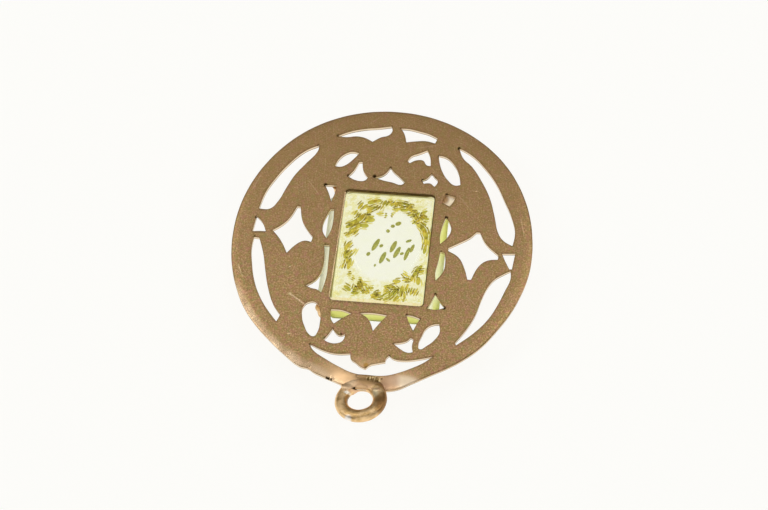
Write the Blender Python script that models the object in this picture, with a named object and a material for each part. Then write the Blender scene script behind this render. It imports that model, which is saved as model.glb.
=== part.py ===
"""Openwork disc pendant: a saw-pierced gold sheet, a claw-set glass stone and a soldered bail ring.

The pendant lies on its four claw tips with its back up. Metres, +Z out of the back, +Y away
from the ring. The origin is under the middle of the bounding box, at the height of the claw
tips. Every size below is in millimetres, measured from the middle of the disc (x, y) and down
or up from the sheet's back face (z).
"""
import math

import bmesh
import bpy
from mathutils import Matrix, Vector

MM = 0.001

# Driving dimensions
DISC_RADIUS = 14.9
DISC_OFFSET_Y = 0.1              # the rim's centre stands this far off the layout's middle
SHEET_THICKNESS = 0.5
GAP = 0.05                       # clearance between pieces that are soldered or seated together

WINDOW_CENTRE = (0.31, -0.51)
WINDOW_SIZE = (9.12, 12.20)
WINDOW_CORNER = 0.36

STONE_SIZE = (12.15, 14.7)       # at the girdle
STONE_CORNER_CUT = 1.7           # how far each clipped corner runs along its side
STONE_TABLE_INSET = 0.21         # the back table stands this far inside the window
STONE_BACK = -0.45               # back table, just below the sheet's back face
STONE_GIRDLE = (-1.35, -1.75)    # upper and lower edge of the girdle
STONE_FRONT = -2.4               # front table
STONE_CROWN_RUN = 0.5

CLAW_RADIUS = 0.38
CLAW_POST_END = -2.1             # where the straight post starts to bend over the stone
CLAW_BEND_RADIUS = 0.7
CLAW_TIP_LENGTH = 0.4
CLAW_TIP_TAPER = 0.7

RING_CENTRE = (0.01, -16.97, 0.25)
RING_RADIUS = 1.92
RING_WIRE_RADIUS = 0.63
RING_TILT = math.radians(17.5)   # outer end raised towards the back
RING_ROLL = math.radians(7.7)    # +X side raised

SOLDER_CENTRE = (0.0, -15.05)
SOLDER_SIZE = (4.3, 1.7, 0.62)   # length along the rim, width across it, height

# Worked out from the above
BACK_HEIGHT = CLAW_RADIUS + CLAW_BEND_RADIUS - CLAW_POST_END
RING_END = RING_CENTRE[1] - RING_RADIUS * math.cos(RING_TILT) - RING_WIRE_RADIUS
CENTRE_X = -0.065                # the rim reaches further to the right than to the left
CENTRE_Y = -(DISC_OFFSET_Y + DISC_RADIUS + RING_END) / 2

CURVE_STEPS = 3                  # straight pieces in each span of an outline

# Openings sawn through the sheet. A point with a third value is a sharp corner, and the others
# lie on smooth stretches.
CORNER = "corner"
TOP_OPENINGS = {
    "top_left_crescent": [
        (-5.8, 11.7, CORNER), (-4.5, 12.32), (-3.0, 12.75), (-1.6, 12.98), (-0.35, 13.25, CORNER),
        (-0.2, 12.8), (-0.5, 12.2), (-1.3, 11.87), (-2.1, 11.3, CORNER), (-2.9, 11.68),
        (-3.8, 11.8), (-4.8, 11.63)],
    "top_right_crescent": [
        (0.6, 13.1, CORNER), (1.5, 13.08), (2.6, 12.87), (3.6, 12.62), (4.5, 12.2, CORNER),
        (4.3, 11.58, CORNER), (3.4, 11.78), (2.4, 11.7), (1.35, 11.5, CORNER), (1.2, 12.1),
        (0.95, 12.65)],
    "upper_left_lens": [
        (-3.3, 9.85, CORNER), (-3.95, 10.0), (-4.7, 9.7), (-5.35, 8.95), (-5.6, 8.2, CORNER),
        (-5.0, 8.17), (-4.4, 8.5), (-3.85, 9.1)],
    "upper_left_bell": [
        (-3.2, 8.88, CORNER), (-2.85, 8.92, CORNER), (-2.65, 7.9), (-2.1, 7.15, CORNER),
        (-2.4, 6.78), (-3.3, 6.75), (-4.15, 7.15, CORNER), (-3.6, 7.9)],
    "top_middle_triangle": [
        (-1.55, 7.25, CORNER), (-0.9, 7.4), (-0.3, 7.85), (0.05, 8.5, CORNER), (0.45, 8.0),
        (1.0, 7.55), (1.7, 6.9, CORNER), (1.35, 6.58), (0.5, 6.76), (-0.6, 6.96)],
    "upper_right_hook": [
        (1.7, 9.35, CORNER), (2.05, 9.95), (2.75, 10.3), (3.6, 10.75, CORNER), (3.95, 10.0),
        (4.1, 8.95, CORNER), (3.7, 9.0), (3.3, 9.5), (2.6, 9.5), (1.95, 9.12, CORNER)],
    "upper_right_lens": [
        (4.8, 10.25, CORNER), (5.6, 10.05), (6.4, 9.35), (7.05, 8.2), (7.3, 7.0, CORNER),
        (6.75, 6.9), (6.0, 7.45), (5.4, 8.3), (5.0, 9.3)],
    "upper_right_crown": [
        (3.4, 7.3, CORNER), (3.85, 7.5), (4.3, 8.1, CORNER), (4.6, 7.75), (5.0, 7.25),
        (4.72, 6.6, CORNER), (4.25, 6.95), (3.6, 6.88, CORNER)],
}
LEFT_OPENINGS = {
    "upper_left_crescent": [
        (-7.5, 10.5, CORNER), (-7.55, 9.85), (-8.5, 8.4), (-9.55, 6.87), (-10.25, 5.3),
        (-10.9, 3.7), (-11.6, 2.85), (-12.7, 2.8, CORNER), (-12.27, 4.66), (-11.5, 6.3),
        (-10.27, 8.18), (-8.85, 9.72)],
    "left_star": [
        (-8.85, 3.35, CORNER), (-8.5, 3.35, CORNER), (-8.15, 1.85), (-7.65, 1.0),
        (-6.85, 0.05, CORNER), (-6.95, -0.5, CORNER), (-7.6, -0.42), (-8.3, -0.8),
        (-9.23, -1.9, CORNER), (-9.75, -0.95), (-10.3, -0.2), (-11.0, 0.5, CORNER),
        (-10.15, 1.15), (-9.45, 2.0)],
    "left_rim_triangle": [
        (-12.8, 1.95, CORNER), (-13.0, 0.2, CORNER), (-12.3, 0.28), (-11.65, 0.3, CORNER),
        (-12.1, 1.25)],
    "lower_left_crescent": [
        (-12.75, -0.4, CORNER), (-12.82, -1.6), (-12.55, -3.3), (-12.1, -5.0), (-11.3, -6.75),
        (-10.3, -8.2), (-9.25, -9.38, CORNER), (-8.98, -8.65, CORNER), (-9.8, -7.6),
        (-10.55, -5.9), (-11.1, -4.0), (-11.55, -2.2), (-12.2, -0.45, CORNER)],
    "left_window_triangle": [
        (-6.35, 6.0, CORNER), (-5.15, 6.0, CORNER), (-5.25, 5.1), (-5.5, 4.15, CORNER),
        (-5.8, 4.95)],
    "left_upper_lens": [
        (-5.45, 3.3, CORNER), (-5.1, 3.3, CORNER), (-5.03, 1.8), (-5.15, 0.9),
        (-5.45, 0.02, CORNER), (-5.95, 0.8), (-5.98, 1.8)],
    "left_hooked_slot": [
        (-5.62, -0.7, CORNER), (-5.05, -0.7, CORNER), (-4.97, -2.5), (-4.95, -4.2),
        (-5.25, -5.95, CORNER), (-5.7, -5.65), (-6.25, -5.55), (-6.9, -5.3, CORNER),
        (-6.2, -4.8), (-5.7, -4.15), (-5.45, -3.2), (-5.42, -2.0)],
}
RIGHT_OPENINGS = {
    "upper_right_crescent": [
        (6.8, 11.25, CORNER), (8.2, 10.45), (9.6, 9.1), (10.9, 7.4), (11.9, 5.5), (12.75, 3.7),
        (13.2, 2.0), (13.05, 0.6, CORNER), (12.2, 1.05), (11.6, 1.8), (11.05, 3.65), (10.4, 5.7),
        (9.45, 7.5), (8.3, 9.15), (7.3, 10.1)],
    "right_star": [
        (9.4, 1.85, CORNER), (9.75, 1.85, CORNER), (10.4, 0.68), (11.75, -0.5, CORNER),
        (11.75, -1.0, CORNER), (10.7, -1.2), (9.95, -1.85), (9.3, -3.4, CORNER),
        (8.95, -3.4, CORNER), (8.5, -2.1), (7.85, -1.05), (6.8, -0.45, CORNER),
        (6.75, -0.1, CORNER), (7.9, 0.6), (8.8, 1.2)],
    "right_rim_triangle": [
        (12.1, -0.3, CORNER), (13.4, -0.2, CORNER), (13.2, -1.95, CORNER),
        (12.95, -1.95, CORNER), (12.45, -1.05)],
    "lower_right_crescent": [
        (13.1, -2.1, CORNER), (13.15, -3.0), (12.7, -4.35), (12.2, -5.7), (11.4, -7.35),
        (10.2, -8.9), (8.5, -10.45, CORNER), (8.36, -10.2, CORNER), (9.36, -8.64),
        (10.06, -7.13), (10.46, -5.63), (10.95, -4.2), (11.58, -3.18), (12.34, -2.58)],
    "right_window_triangle": [
        (5.95, 5.85, CORNER), (7.0, 5.65, CORNER), (6.75, 5.0), (6.45, 4.5, CORNER),
        (5.7, 4.85, CORNER)],
    "right_upper_lens": [
        (6.2, 3.3, CORNER), (6.62, 2.7), (6.85, 1.9), (6.5, 0.95), (5.9, 0.25, CORNER),
        (5.8, 1.2), (5.95, 2.3)],
    "right_lower_lens": [
        (6.0, -0.55, CORNER), (6.45, -0.65, CORNER), (6.6, -1.6), (6.5, -2.7),
        (5.85, -3.75, CORNER), (5.72, -2.9), (5.88, -1.8)],
    "right_corner_triangle": [
        (5.95, -5.15, CORNER), (6.4, -5.85), (7.0, -6.55, CORNER), (6.3, -6.87),
        (5.3, -6.8, CORNER), (5.62, -6.1)],
}
BOTTOM_OPENINGS = {
    "lower_left_lens": [
        (-6.2, -7.0), (-6.8, -7.5), (-6.82, -8.6), (-6.4, -9.7), (-5.9, -10.45), (-5.4, -10.65),
        (-5.1, -10.2), (-4.97, -9.1), (-5.1, -7.9), (-5.55, -7.1)],
    "lower_right_lens": [
        (6.65, -8.35, CORNER), (6.78, -9.2), (6.4, -10.0), (5.6, -10.8), (5.0, -11.15),
        (4.85, -10.8), (5.1, -9.7), (5.5, -8.85), (6.1, -8.45)],
    "left_foot_triangle": [
        (-4.05, -7.65, CORNER), (-3.0, -7.65), (-2.0, -7.95, CORNER), (-2.9, -8.55),
        (-3.6, -9.15, CORNER), (-3.97, -8.6)],
    "middle_foot_triangle": [
        (-1.25, -7.8, CORNER), (0.1, -7.72), (1.5, -7.85, CORNER), (0.95, -8.6),
        (0.3, -9.6, CORNER), (0.0, -8.85), (-0.4, -8.3)],
    "right_foot_triangle": [
        (3.35, -7.65, CORNER), (4.0, -7.72), (4.75, -7.95, CORNER), (4.45, -8.6),
        (4.2, -9.25, CORNER), (3.8, -8.6)],
    "left_wing": [
        (-3.65, -9.65, CORNER), (-3.3, -10.1), (-2.85, -10.35), (-2.35, -10.1, CORNER),
        (-2.5, -10.85), (-3.1, -11.2), (-3.9, -11.15), (-4.4, -10.9, CORNER), (-4.0, -10.35)],
    "right_wing": [
        (4.05, -10.0, CORNER), (4.35, -10.2, CORNER), (4.25, -10.9), (4.4, -11.5, CORNER),
        (3.9, -11.6), (3.1, -11.25), (2.4, -10.75, CORNER), (3.2, -10.6), (3.75, -10.35)],
    "bottom_crescent": [
        (-5.7, -11.45, CORNER), (-4.8, -11.85), (-3.9, -12.15), (-2.9, -12.28),
        (-1.6, -12.15, CORNER), (-1.5, -12.7), (-1.0, -13.05), (-0.5, -13.4),
        (0.0, -13.6, CORNER), (0.4, -13.2), (1.1, -12.95), (1.85, -12.75, CORNER), (1.9, -12.4),
        (2.15, -12.05, CORNER), (2.6, -12.35), (3.6, -12.45), (4.8, -12.25),
        (6.45, -11.75, CORNER), (5.5, -12.55), (4.4, -13.2), (3.0, -13.85), (1.8, -14.22),
        (0.3, -14.28), (-1.0, -14.2), (-2.5, -13.62), (-4.0, -12.88), (-5.3, -12.05)],
}
OPENINGS = {**TOP_OPENINGS, **LEFT_OPENINGS, **RIGHT_OPENINGS, **BOTTOM_OPENINGS}

# The hand-cut rim stands outside its circle: at an angle in degrees, by this much
RIM_SWELLING = [
    (-60, 0.27), (-45, 0.27), (-36, 0.12), (-20, 0.14), (-8, 0.21), (5, 0.14), (30, 0.16),
    (42, 0.16), (60, 0.07), (90, 0.0), (105, 0.05), (125, 0.11), (150, 0.05), (180, 0.04),
    (195, 0.11), (215, 0.22), (225, 0.10), (231, 0.12), (237, 0.22), (242, 0.34), (246, 0.45)]

# The rim ends at these two angles, and the lug that carries the ring lies between them
LUG_START = math.radians(-60.0)
LUG_END = math.radians(-114.5)
LUG_POINTS = [(-5.5, -14.02), (-4.95, -14.35), (-4.08, -14.7), (-3.03, -15.1), (-2.22, -15.38),
              (-1.0, -15.45), (1.0, -15.6), (2.45, -15.72), (3.43, -15.42), (4.34, -14.88),
              (5.15, -14.42), (5.95, -13.95), (6.76, -13.49)]
RIM_POINTS = 37


def clear_scene():
    for obj in list(bpy.data.objects):
        bpy.data.objects.remove(obj, do_unlink=True)


def new_collection(name):
    collection = bpy.data.collections.new(name)
    bpy.context.scene.collection.children.link(collection)
    return collection


def new_material(name, colour, roughness, metallic, transmission=0.0):
    material = bpy.data.materials.new(name)
    material.use_nodes = True
    shader = material.node_tree.nodes["Principled BSDF"]
    shader.inputs["Base Color"].default_value = (*colour, 1.0)
    shader.inputs["Roughness"].default_value = roughness
    shader.inputs["Metallic"].default_value = metallic
    shader.inputs["Transmission Weight"].default_value = transmission
    material.diffuse_color = (*colour, 1.0)
    return material


def placed(x, y, z=0.0):
    """A point given from the middle of the disc and its back face, in the pendant's frame."""
    return Vector(((x + CENTRE_X) * MM, (y + CENTRE_Y) * MM, (z + BACK_HEIGHT) * MM))


def add_object(name, mesh, material, collection):
    obj = bpy.data.objects.new(name, mesh)
    collection.objects.link(obj)
    mesh.materials.clear()
    mesh.materials.append(material)
    return obj


def curve_to_mesh(curve_obj):
    """The curve's surface as a closed mesh, with its caps welded on. The curve is removed."""
    depsgraph = bpy.context.evaluated_depsgraph_get()
    mesh = bpy.data.meshes.new_from_object(curve_obj.evaluated_get(depsgraph))
    mesh.transform(curve_obj.matrix_world)
    bm = bmesh.new()
    bm.from_mesh(mesh)
    bmesh.ops.remove_doubles(bm, verts=bm.verts, dist=1e-7)
    bmesh.ops.recalc_face_normals(bm, faces=bm.faces)
    bm.to_mesh(mesh)
    bm.free()
    bpy.data.objects.remove(curve_obj, do_unlink=True)
    return mesh


def subtract(obj, cutter):
    """Cut one piece back from another, and keep the result as the piece's own mesh."""
    modifier = obj.modifiers.new("cut", "BOOLEAN")
    modifier.operation = "DIFFERENCE"
    modifier.solver = "EXACT"
    modifier.object = cutter
    depsgraph = bpy.context.evaluated_depsgraph_get()
    cut_mesh = bpy.data.meshes.new_from_object(obj.evaluated_get(depsgraph))
    obj.modifiers.clear()
    obj.data = cut_mesh


def shade(mesh, angle=35.0):
    mesh.shade_smooth()
    mesh.set_sharp_from_angle(angle=math.radians(angle))


def add_outline(curve, points):
    """One closed outline, curved through its points and sharp at the corners."""
    spline = curve.splines.new("BEZIER")
    spline.bezier_points.add(len(points) - 1)
    spline.use_cyclic_u = True
    spline.resolution_u = CURVE_STEPS
    for knot, point in zip(spline.bezier_points, points):
        knot.co = (point[0] * MM, point[1] * MM, 0.0)
        handle = "VECTOR" if len(point) == 3 else "AUTO"
        knot.handle_left_type = handle
        knot.handle_right_type = handle


def rim_radius(angle):
    """How far the rim stands from its centre at an angle."""
    degrees = math.degrees(angle)
    for (start, low), (end, high) in zip(RIM_SWELLING, RIM_SWELLING[1:]):
        if degrees <= end:
            share = max(0.0, (degrees - start) / (end - start))
            return DISC_RADIUS + low + share * (high - low)
    return DISC_RADIUS + RIM_SWELLING[-1][1]


def disc_outline():
    """The rim, from one side of the lug round to the other, and then the lug."""
    sweep = math.tau + LUG_END - LUG_START
    points = []
    for step in range(RIM_POINTS + 1):
        angle = LUG_START + sweep * step / RIM_POINTS
        radius = rim_radius(angle)
        points.append((radius * math.cos(angle), DISC_OFFSET_Y + radius * math.sin(angle)))
    return points + LUG_POINTS


def window_outline():
    """A rectangle whose corners are rounded by two points each."""
    points = []
    for side_x, side_y in ((1, 1), (-1, 1), (-1, -1), (1, -1)):
        corner_x = WINDOW_CENTRE[0] + side_x * WINDOW_SIZE[0] / 2
        corner_y = WINDOW_CENTRE[1] + side_y * WINDOW_SIZE[1] / 2
        on_side = (corner_x, corner_y - side_y * WINDOW_CORNER, CORNER)
        on_end = (corner_x - side_x * WINDOW_CORNER, corner_y, CORNER)
        middle = (corner_x - side_x * WINDOW_CORNER * (1 - math.sqrt(0.5)),
                  corner_y - side_y * WINDOW_CORNER * (1 - math.sqrt(0.5)), CORNER)
        turn = [on_side, middle, on_end]
        points += turn if side_x * side_y > 0 else turn[::-1]
    return points


def make_plate(material, collection):
    curve = bpy.data.curves.new("pierced_plate", "CURVE")
    curve.dimensions = "2D"
    curve.fill_mode = "BOTH"
    curve.extrude = SHEET_THICKNESS / 2 * MM
    add_outline(curve, disc_outline())
    add_outline(curve, window_outline())
    for points in OPENINGS.values():
        add_outline(curve, points)
    curve_obj = bpy.data.objects.new("plate_outline", curve)
    curve_obj.location = placed(0.0, 0.0, -SHEET_THICKNESS / 2)
    collection.objects.link(curve_obj)
    bpy.context.view_layer.update()
    return add_object("pierced_plate", curve_to_mesh(curve_obj), material, collection)


def clipped_rectangle(half_x, half_y, cut):
    """The eight corners of a rectangle with clipped corners, anticlockwise."""
    corners = []
    for side_x, side_y in ((1, 1), (-1, 1), (-1, -1), (1, -1)):
        on_side = (side_x * half_x, side_y * (half_y - cut))
        on_end = (side_x * (half_x - cut), side_y * half_y)
        corners += [on_side, on_end] if side_x * side_y > 0 else [on_end, on_side]
    return corners


def make_stone(material, collection):
    """A flat-backed stone: a loft through clipped rectangles from its back to its front table."""
    half_x, half_y = STONE_SIZE[0] / 2, STONE_SIZE[1] / 2
    table_x = WINDOW_SIZE[0] / 2 - STONE_TABLE_INSET
    table_y = WINDOW_SIZE[1] / 2 - STONE_TABLE_INSET
    clip = STONE_CORNER_CUT
    levels = [
        (table_x, table_y, clip * 0.4, STONE_BACK),
        (half_x, half_y, clip, STONE_GIRDLE[0]),
        (half_x, half_y, clip, STONE_GIRDLE[1]),
        (half_x - STONE_CROWN_RUN, half_y - STONE_CROWN_RUN, clip * 0.85, STONE_FRONT),
    ]
    bm = bmesh.new()
    rings = []
    for level_x, level_y, cut, z in levels:
        corners = clipped_rectangle(level_x, level_y, cut)
        rings.append([bm.verts.new(placed(WINDOW_CENTRE[0] + x, WINDOW_CENTRE[1] + y, z))
                      for x, y in corners])
    bm.faces.new(rings[0])
    bm.faces.new(reversed(rings[-1]))
    for upper, lower in zip(rings, rings[1:]):
        for index in range(len(upper)):
            after = (index + 1) % len(upper)
            bm.faces.new((upper[after], upper[index], lower[index], lower[after]))
    bmesh.ops.recalc_face_normals(bm, faces=bm.faces)
    mesh = bpy.data.meshes.new("glass_stone")
    bm.to_mesh(mesh)
    bm.free()
    return add_object("glass_stone", mesh, material, collection)


def claw_route():
    """Distance in from the post and height, along the claw: post, quarter bend, tip."""
    route = [(0.0, -SHEET_THICKNESS - GAP, 1.0), (0.0, CLAW_POST_END, 1.0)]
    bend_steps = 6
    for step in range(1, bend_steps + 1):
        turn = math.pi / 2 * step / bend_steps
        inward = CLAW_BEND_RADIUS * (1 - math.cos(turn))
        route.append((inward, CLAW_POST_END - CLAW_BEND_RADIUS * math.sin(turn), 1.0))
    route.append((CLAW_BEND_RADIUS + CLAW_TIP_LENGTH, CLAW_POST_END - CLAW_BEND_RADIUS,
                  CLAW_TIP_TAPER))
    return route


def make_claw(name, side_x, side_y, material, collection):
    """A wire that stands beside a clipped corner of the stone and bends in over its front."""
    diagonal = math.sqrt(0.5)
    stand_off = (CLAW_RADIUS + GAP) * diagonal - STONE_CORNER_CUT / 2
    post_x = WINDOW_CENTRE[0] + side_x * (STONE_SIZE[0] / 2 + stand_off)
    post_y = WINDOW_CENTRE[1] + side_y * (STONE_SIZE[1] / 2 + stand_off)
    route = claw_route()
    curve = bpy.data.curves.new(name, "CURVE")
    curve.dimensions = "3D"
    curve.bevel_depth = CLAW_RADIUS * MM
    curve.bevel_resolution = 3
    curve.use_fill_caps = True
    spline = curve.splines.new("POLY")
    spline.points.add(len(route) - 1)
    for point, (inward, z, thickness) in zip(spline.points, route):
        place = placed(post_x - side_x * inward * diagonal, post_y - side_y * inward * diagonal, z)
        point.co = (*place, 1.0)
        point.radius = thickness
    curve_obj = bpy.data.objects.new(name + "_route", curve)
    collection.objects.link(curve_obj)
    bpy.context.view_layer.update()
    mesh = curve_to_mesh(curve_obj)
    shade(mesh)
    return add_object(name, mesh, material, collection)


def ring_mesh(name, wire_radius):
    """A torus at the ring's place, tilted and rolled as the ring is soldered on."""
    turn = Matrix.Rotation(-RING_ROLL, 4, "Y") @ Matrix.Rotation(-RING_TILT, 4, "X")
    bpy.ops.mesh.primitive_torus_add(
        major_radius=RING_RADIUS * MM, minor_radius=wire_radius * MM,
        major_segments=40, minor_segments=14)
    torus = bpy.context.object
    mesh = torus.data
    mesh.name = name
    mesh.transform(Matrix.Translation(placed(*RING_CENTRE)) @ turn)
    bpy.data.objects.remove(torus, do_unlink=True)
    return mesh


def make_solder(material, collection):
    """The upper half of a flattened ball, lying across the rim over the ring's inner end."""
    bm = bmesh.new()
    bmesh.ops.create_uvsphere(bm, u_segments=28, v_segments=14, radius=1.0)
    bmesh.ops.bisect_plane(bm, geom=bm.verts[:] + bm.edges[:] + bm.faces[:], dist=1e-6,
                           plane_co=(0, 0, 0), plane_no=(0, 0, -1), clear_outer=True)
    rim_edges = [edge for edge in bm.edges if edge.is_boundary]
    bmesh.ops.edgeloop_fill(bm, edges=rim_edges)
    length, width, height = SOLDER_SIZE
    bmesh.ops.scale(bm, vec=(length / 2 * MM, width / 2 * MM, height * MM), verts=bm.verts)
    bmesh.ops.translate(bm, vec=placed(*SOLDER_CENTRE, GAP), verts=bm.verts)
    bmesh.ops.recalc_face_normals(bm, faces=bm.faces)
    mesh = bpy.data.meshes.new("ring_solder")
    bm.to_mesh(mesh)
    bm.free()
    return add_object("ring_solder", mesh, material, collection)


def main():
    clear_scene()
    pendant = new_collection("pendant")
    cutters = new_collection("cutters")
    sheet_gold = new_material("sheet_gold", (0.36, 0.25, 0.12), 0.35, 1.0)
    wire_gold = new_material("wire_gold", (0.50, 0.33, 0.17), 0.28, 1.0)
    solder_gold = new_material("solder_gold", (0.42, 0.27, 0.16), 0.5, 1.0)
    glass = new_material("pale_glass", (0.84, 0.88, 0.62), 0.05, 0.0, transmission=0.9)

    plate = make_plate(sheet_gold, pendant)
    make_stone(glass, pendant)
    for name, side_x, side_y in (("claw_upper_left", -1, 1), ("claw_upper_right", 1, 1),
                                 ("claw_lower_left", -1, -1), ("claw_lower_right", 1, -1)):
        make_claw(name, side_x, side_y, wire_gold, pendant)

    ring = add_object("bail_ring", ring_mesh("bail_ring", RING_WIRE_RADIUS), wire_gold, pendant)
    shade(ring.data)
    solder = make_solder(solder_gold, pendant)

    seat = add_object("ring_seat", ring_mesh("ring_seat", RING_WIRE_RADIUS + GAP), wire_gold,
                      cutters)
    seat.hide_render = True
    seat.display_type = "WIRE"
    subtract(plate, seat)
    subtract(solder, seat)
    shade(plate.data)
    shade(solder.data)


main()
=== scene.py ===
"""Looks of the openwork disc pendant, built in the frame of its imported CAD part.

Shapes are laid out in millimetres from the middle of the disc (x, y) and up or down from the
sheet's back face (z), and are placed from the CAD nodes' boxes.
"""

import math
import random

import bmesh
import bpy
import numpy as np
from mathutils import Matrix, Vector, geometry, kdtree, noise


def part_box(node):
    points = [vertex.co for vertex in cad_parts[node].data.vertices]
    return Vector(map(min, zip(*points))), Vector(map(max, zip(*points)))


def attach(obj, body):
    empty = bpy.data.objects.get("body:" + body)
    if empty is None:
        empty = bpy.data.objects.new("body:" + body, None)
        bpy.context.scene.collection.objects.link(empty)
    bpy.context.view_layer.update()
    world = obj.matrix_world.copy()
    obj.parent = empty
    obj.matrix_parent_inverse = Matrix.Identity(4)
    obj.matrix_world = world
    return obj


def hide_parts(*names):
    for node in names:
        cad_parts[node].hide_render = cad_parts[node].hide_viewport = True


MM = 0.001

# Sheet
RIM_RADIUS = 15.2               # the rim never reaches further out than this
SHEET_THICKNESS = 0.5
CORNER_TURN = 33.0              # degrees; a sharper turn in the outline is a sawn corner
SAW_ROUNDING = 0.035            # how softly the saw leaves its corners
TOLERANCE = 0.001
OUTLINE_STEP = 0.10
OUTLINE_TURN = 14.0             # degrees between two outline points at most
FACE_STEP = 0.26
EDGE_ROUNDING = 0.05
RIM_ROUNDING = 0.13
WINDOW_ROUNDING = 0.12
WINDOW_LEAN = 0.24              # how far the window's left side leans over its height
EDGE_SHADE = 0.22               # how dark the openings' edges are painted, as painted shade
WALL_LEVELS = (0.30, 0.55, 1.0)  # down a sawn edge, as shares of its height
# How bright the openings' walls are painted, as a painted highlight
WALL_HIGHLIGHT = 0.9
# Down an opening's edge: how far round in degrees, and how far down. None is the lower edge.
EDGE_PROFILE = ([(angle, 0.0) for angle in (35, 62, 90)] + [(90, down) for down in WALL_LEVELS]
                + [(62, None), (35, None)])
BACK, WALL, FRONT = 0, 1, 2     # the sheet's materials
WINDOW_SIDE = 0.25              # the window's edge points lie this near its sides
DRILL_DEPTH = 0.10
MARK_STEP = 0.09                # between mesh points along a scratch
MARK_GAP = 0.16                 # between the marks' own points and the evenly spread ones
EDGE_GAP = 0.055                # between the outlines and the points inside them

# Lug and ring
LUG_TOP = -14.0                 # the ring's seat lies below this y
LUG_RISE = 0.34                 # how far the lug is bent up
LUG_SEAT = 2.65                 # half the width of the ring's seat in the CAD outline
LUG_EDGE = [(-2.25, -15.42), (-1.6, -15.64), (-0.8, -15.80), (0.0, -15.84), (0.8, -15.82),
            (1.6, -15.78), (2.25, -15.78)]
RING_RADIUS = 1.92
RING_WIRE = 0.625
RING_TILT = math.radians(17.5)
RING_ROLL = math.radians(7.7)
SOLDER_GRID = 0.05
SOLDER_BLEND = 0.95
SOLDER_BOX = ((-4.4, -18.2, -1.2), (4.4, -13.8, 1.3))

# Claws
CLAW_RADIUS = 0.375
CLAW_TOP = -0.55
CLAW_POST_END = -2.1
CLAW_BEND = 0.7
CLAW_TIP = 0.4
PLAIN_FOOT = 1.3                # the soldered foot against the wire
WIDE_FOOT = 3.1
CLAW_STAND_OFF = 0.43           # from the stone's corner to the middle of the post
SOLDER_BLOB = (6.30, 5.20, 1.05)  # solder that shows in the small opening: x, y, radius
BLOB_PROFILE = ((-0.22, 0.35), (-0.25, 0.6), (-0.32, 0.82), (-0.44, 1), (-0.60, 0.9),
                (-0.74, 0.5))   # z and share of the radius

# Stone
STONE_MIDDLE = (0.31, -0.51)    # from the middle of the disc
STONE_CORNER_CUT = 1.7
STONE_TABLE = (4.42, 5.89)      # half sides of the back table
STONE_LEVELS = (-0.45, -1.35, -1.75, -2.4)
STONE_CROWN_RUN = 0.5
STONE_BEVEL = 0.05
FACET_AREA = 0.3                # faces larger than this stay flat
CARVING_GRID = 0.06
CARVING_DEPTH = 0.08
GILDING = 0.028                 # half the thickness of the gilding
LEAF_WIDTH = 1.45               # how much wider the cut leaves are than their middle lines

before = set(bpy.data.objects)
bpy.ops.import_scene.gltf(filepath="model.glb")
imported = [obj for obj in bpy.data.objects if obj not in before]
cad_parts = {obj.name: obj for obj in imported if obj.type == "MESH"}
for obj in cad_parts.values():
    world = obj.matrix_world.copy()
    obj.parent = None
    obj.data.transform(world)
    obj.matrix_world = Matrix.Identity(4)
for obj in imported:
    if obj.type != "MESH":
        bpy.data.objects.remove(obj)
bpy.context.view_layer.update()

stone_low, stone_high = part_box("glass_stone")
ORIGIN = np.array([(stone_low.x + stone_high.x) / 2 - STONE_MIDDLE[0] * MM,
                   (stone_low.y + stone_high.y) / 2 - STONE_MIDDLE[1] * MM,
                   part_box("pierced_plate")[1].z])


def layout_box(node):
    """A CAD node's box in the layout's millimetres."""
    low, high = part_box(node)
    return (np.array(low) - ORIGIN) / MM, (np.array(high) - ORIGIN) / MM


def add_object(name, data):
    obj = bpy.data.objects.new(name, data)
    bpy.context.scene.collection.objects.link(obj)
    return obj


def add_piece(name, points, faces, materials, nodes=(), sharp=40.0, face_material=None,
              wear_and_light=None):
    """A closed mesh from layout points, riding on the pendant's body. Wear_and_light is how much
    painted shade and how much burnish and painted highlight each point has."""
    mesh = bpy.data.meshes.new(name)
    world = np.asarray(points, float) * MM + ORIGIN
    mesh.from_pydata(world.tolist(), [], [tuple(int(i) for i in face) for face in faces])
    for material in materials:
        mesh.materials.append(material)
    if face_material is not None:
        mesh.polygons.foreach_set("material_index", np.asarray(face_material, np.int32))
    if wear_and_light is not None:
        layer = mesh.color_attributes.new("wear_and_light", "FLOAT_COLOR", "POINT")
        rgba = np.zeros((len(points), 4), np.float32)
        rgba[:, :2] = wear_and_light
        rgba[:, 3] = 1.0
        layer.data.foreach_set("color", rgba.ravel())
    mesh.update()
    mesh.shade_smooth()
    mesh.set_sharp_from_angle(angle=math.radians(sharp))
    obj = add_object(name, mesh)
    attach(obj, "root")
    if nodes:
        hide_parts(*nodes)
    return obj


# ---------------------------------------------------------------- outlines

def top_outlines(node):
    """The closed outlines of a CAD node's top face, with the metal on their left."""
    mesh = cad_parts[node].data
    co = np.empty(len(mesh.vertices) * 3)
    mesh.vertices.foreach_get("co", co)
    co = (co.reshape(-1, 3) - ORIGIN) / MM
    keys = [tuple(k) for k in np.round(co, 3)]
    directed = set()
    for polygon in mesh.polygons:
        ring = [keys[i] for i in polygon.vertices]
        if min(k[2] for k in ring) < -0.001 or max(k[2] for k in ring) > 0.001:
            continue
        if polygon.normal.z < 0:
            ring.reverse()
        directed.update(zip(ring, ring[1:] + ring[:1]))
    follow = {a: b for a, b in directed if (b, a) not in directed and a != b}
    loops = []
    while follow:
        start, here = follow.popitem()
        loop = [start]
        while here != start:
            loop.append(here)
            here = follow.pop(here)
        loops.append(np.array([p[:2] for p in loop]))
    return loops


def following(loop):
    """The next point after each point of a closed outline."""
    return np.roll(loop, -1, axis=0)


def signed_area(loop):
    after = following(loop)
    return 0.5 * float(np.sum(loop[:, 0] * after[:, 1] - after[:, 0] * loop[:, 1]))


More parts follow.
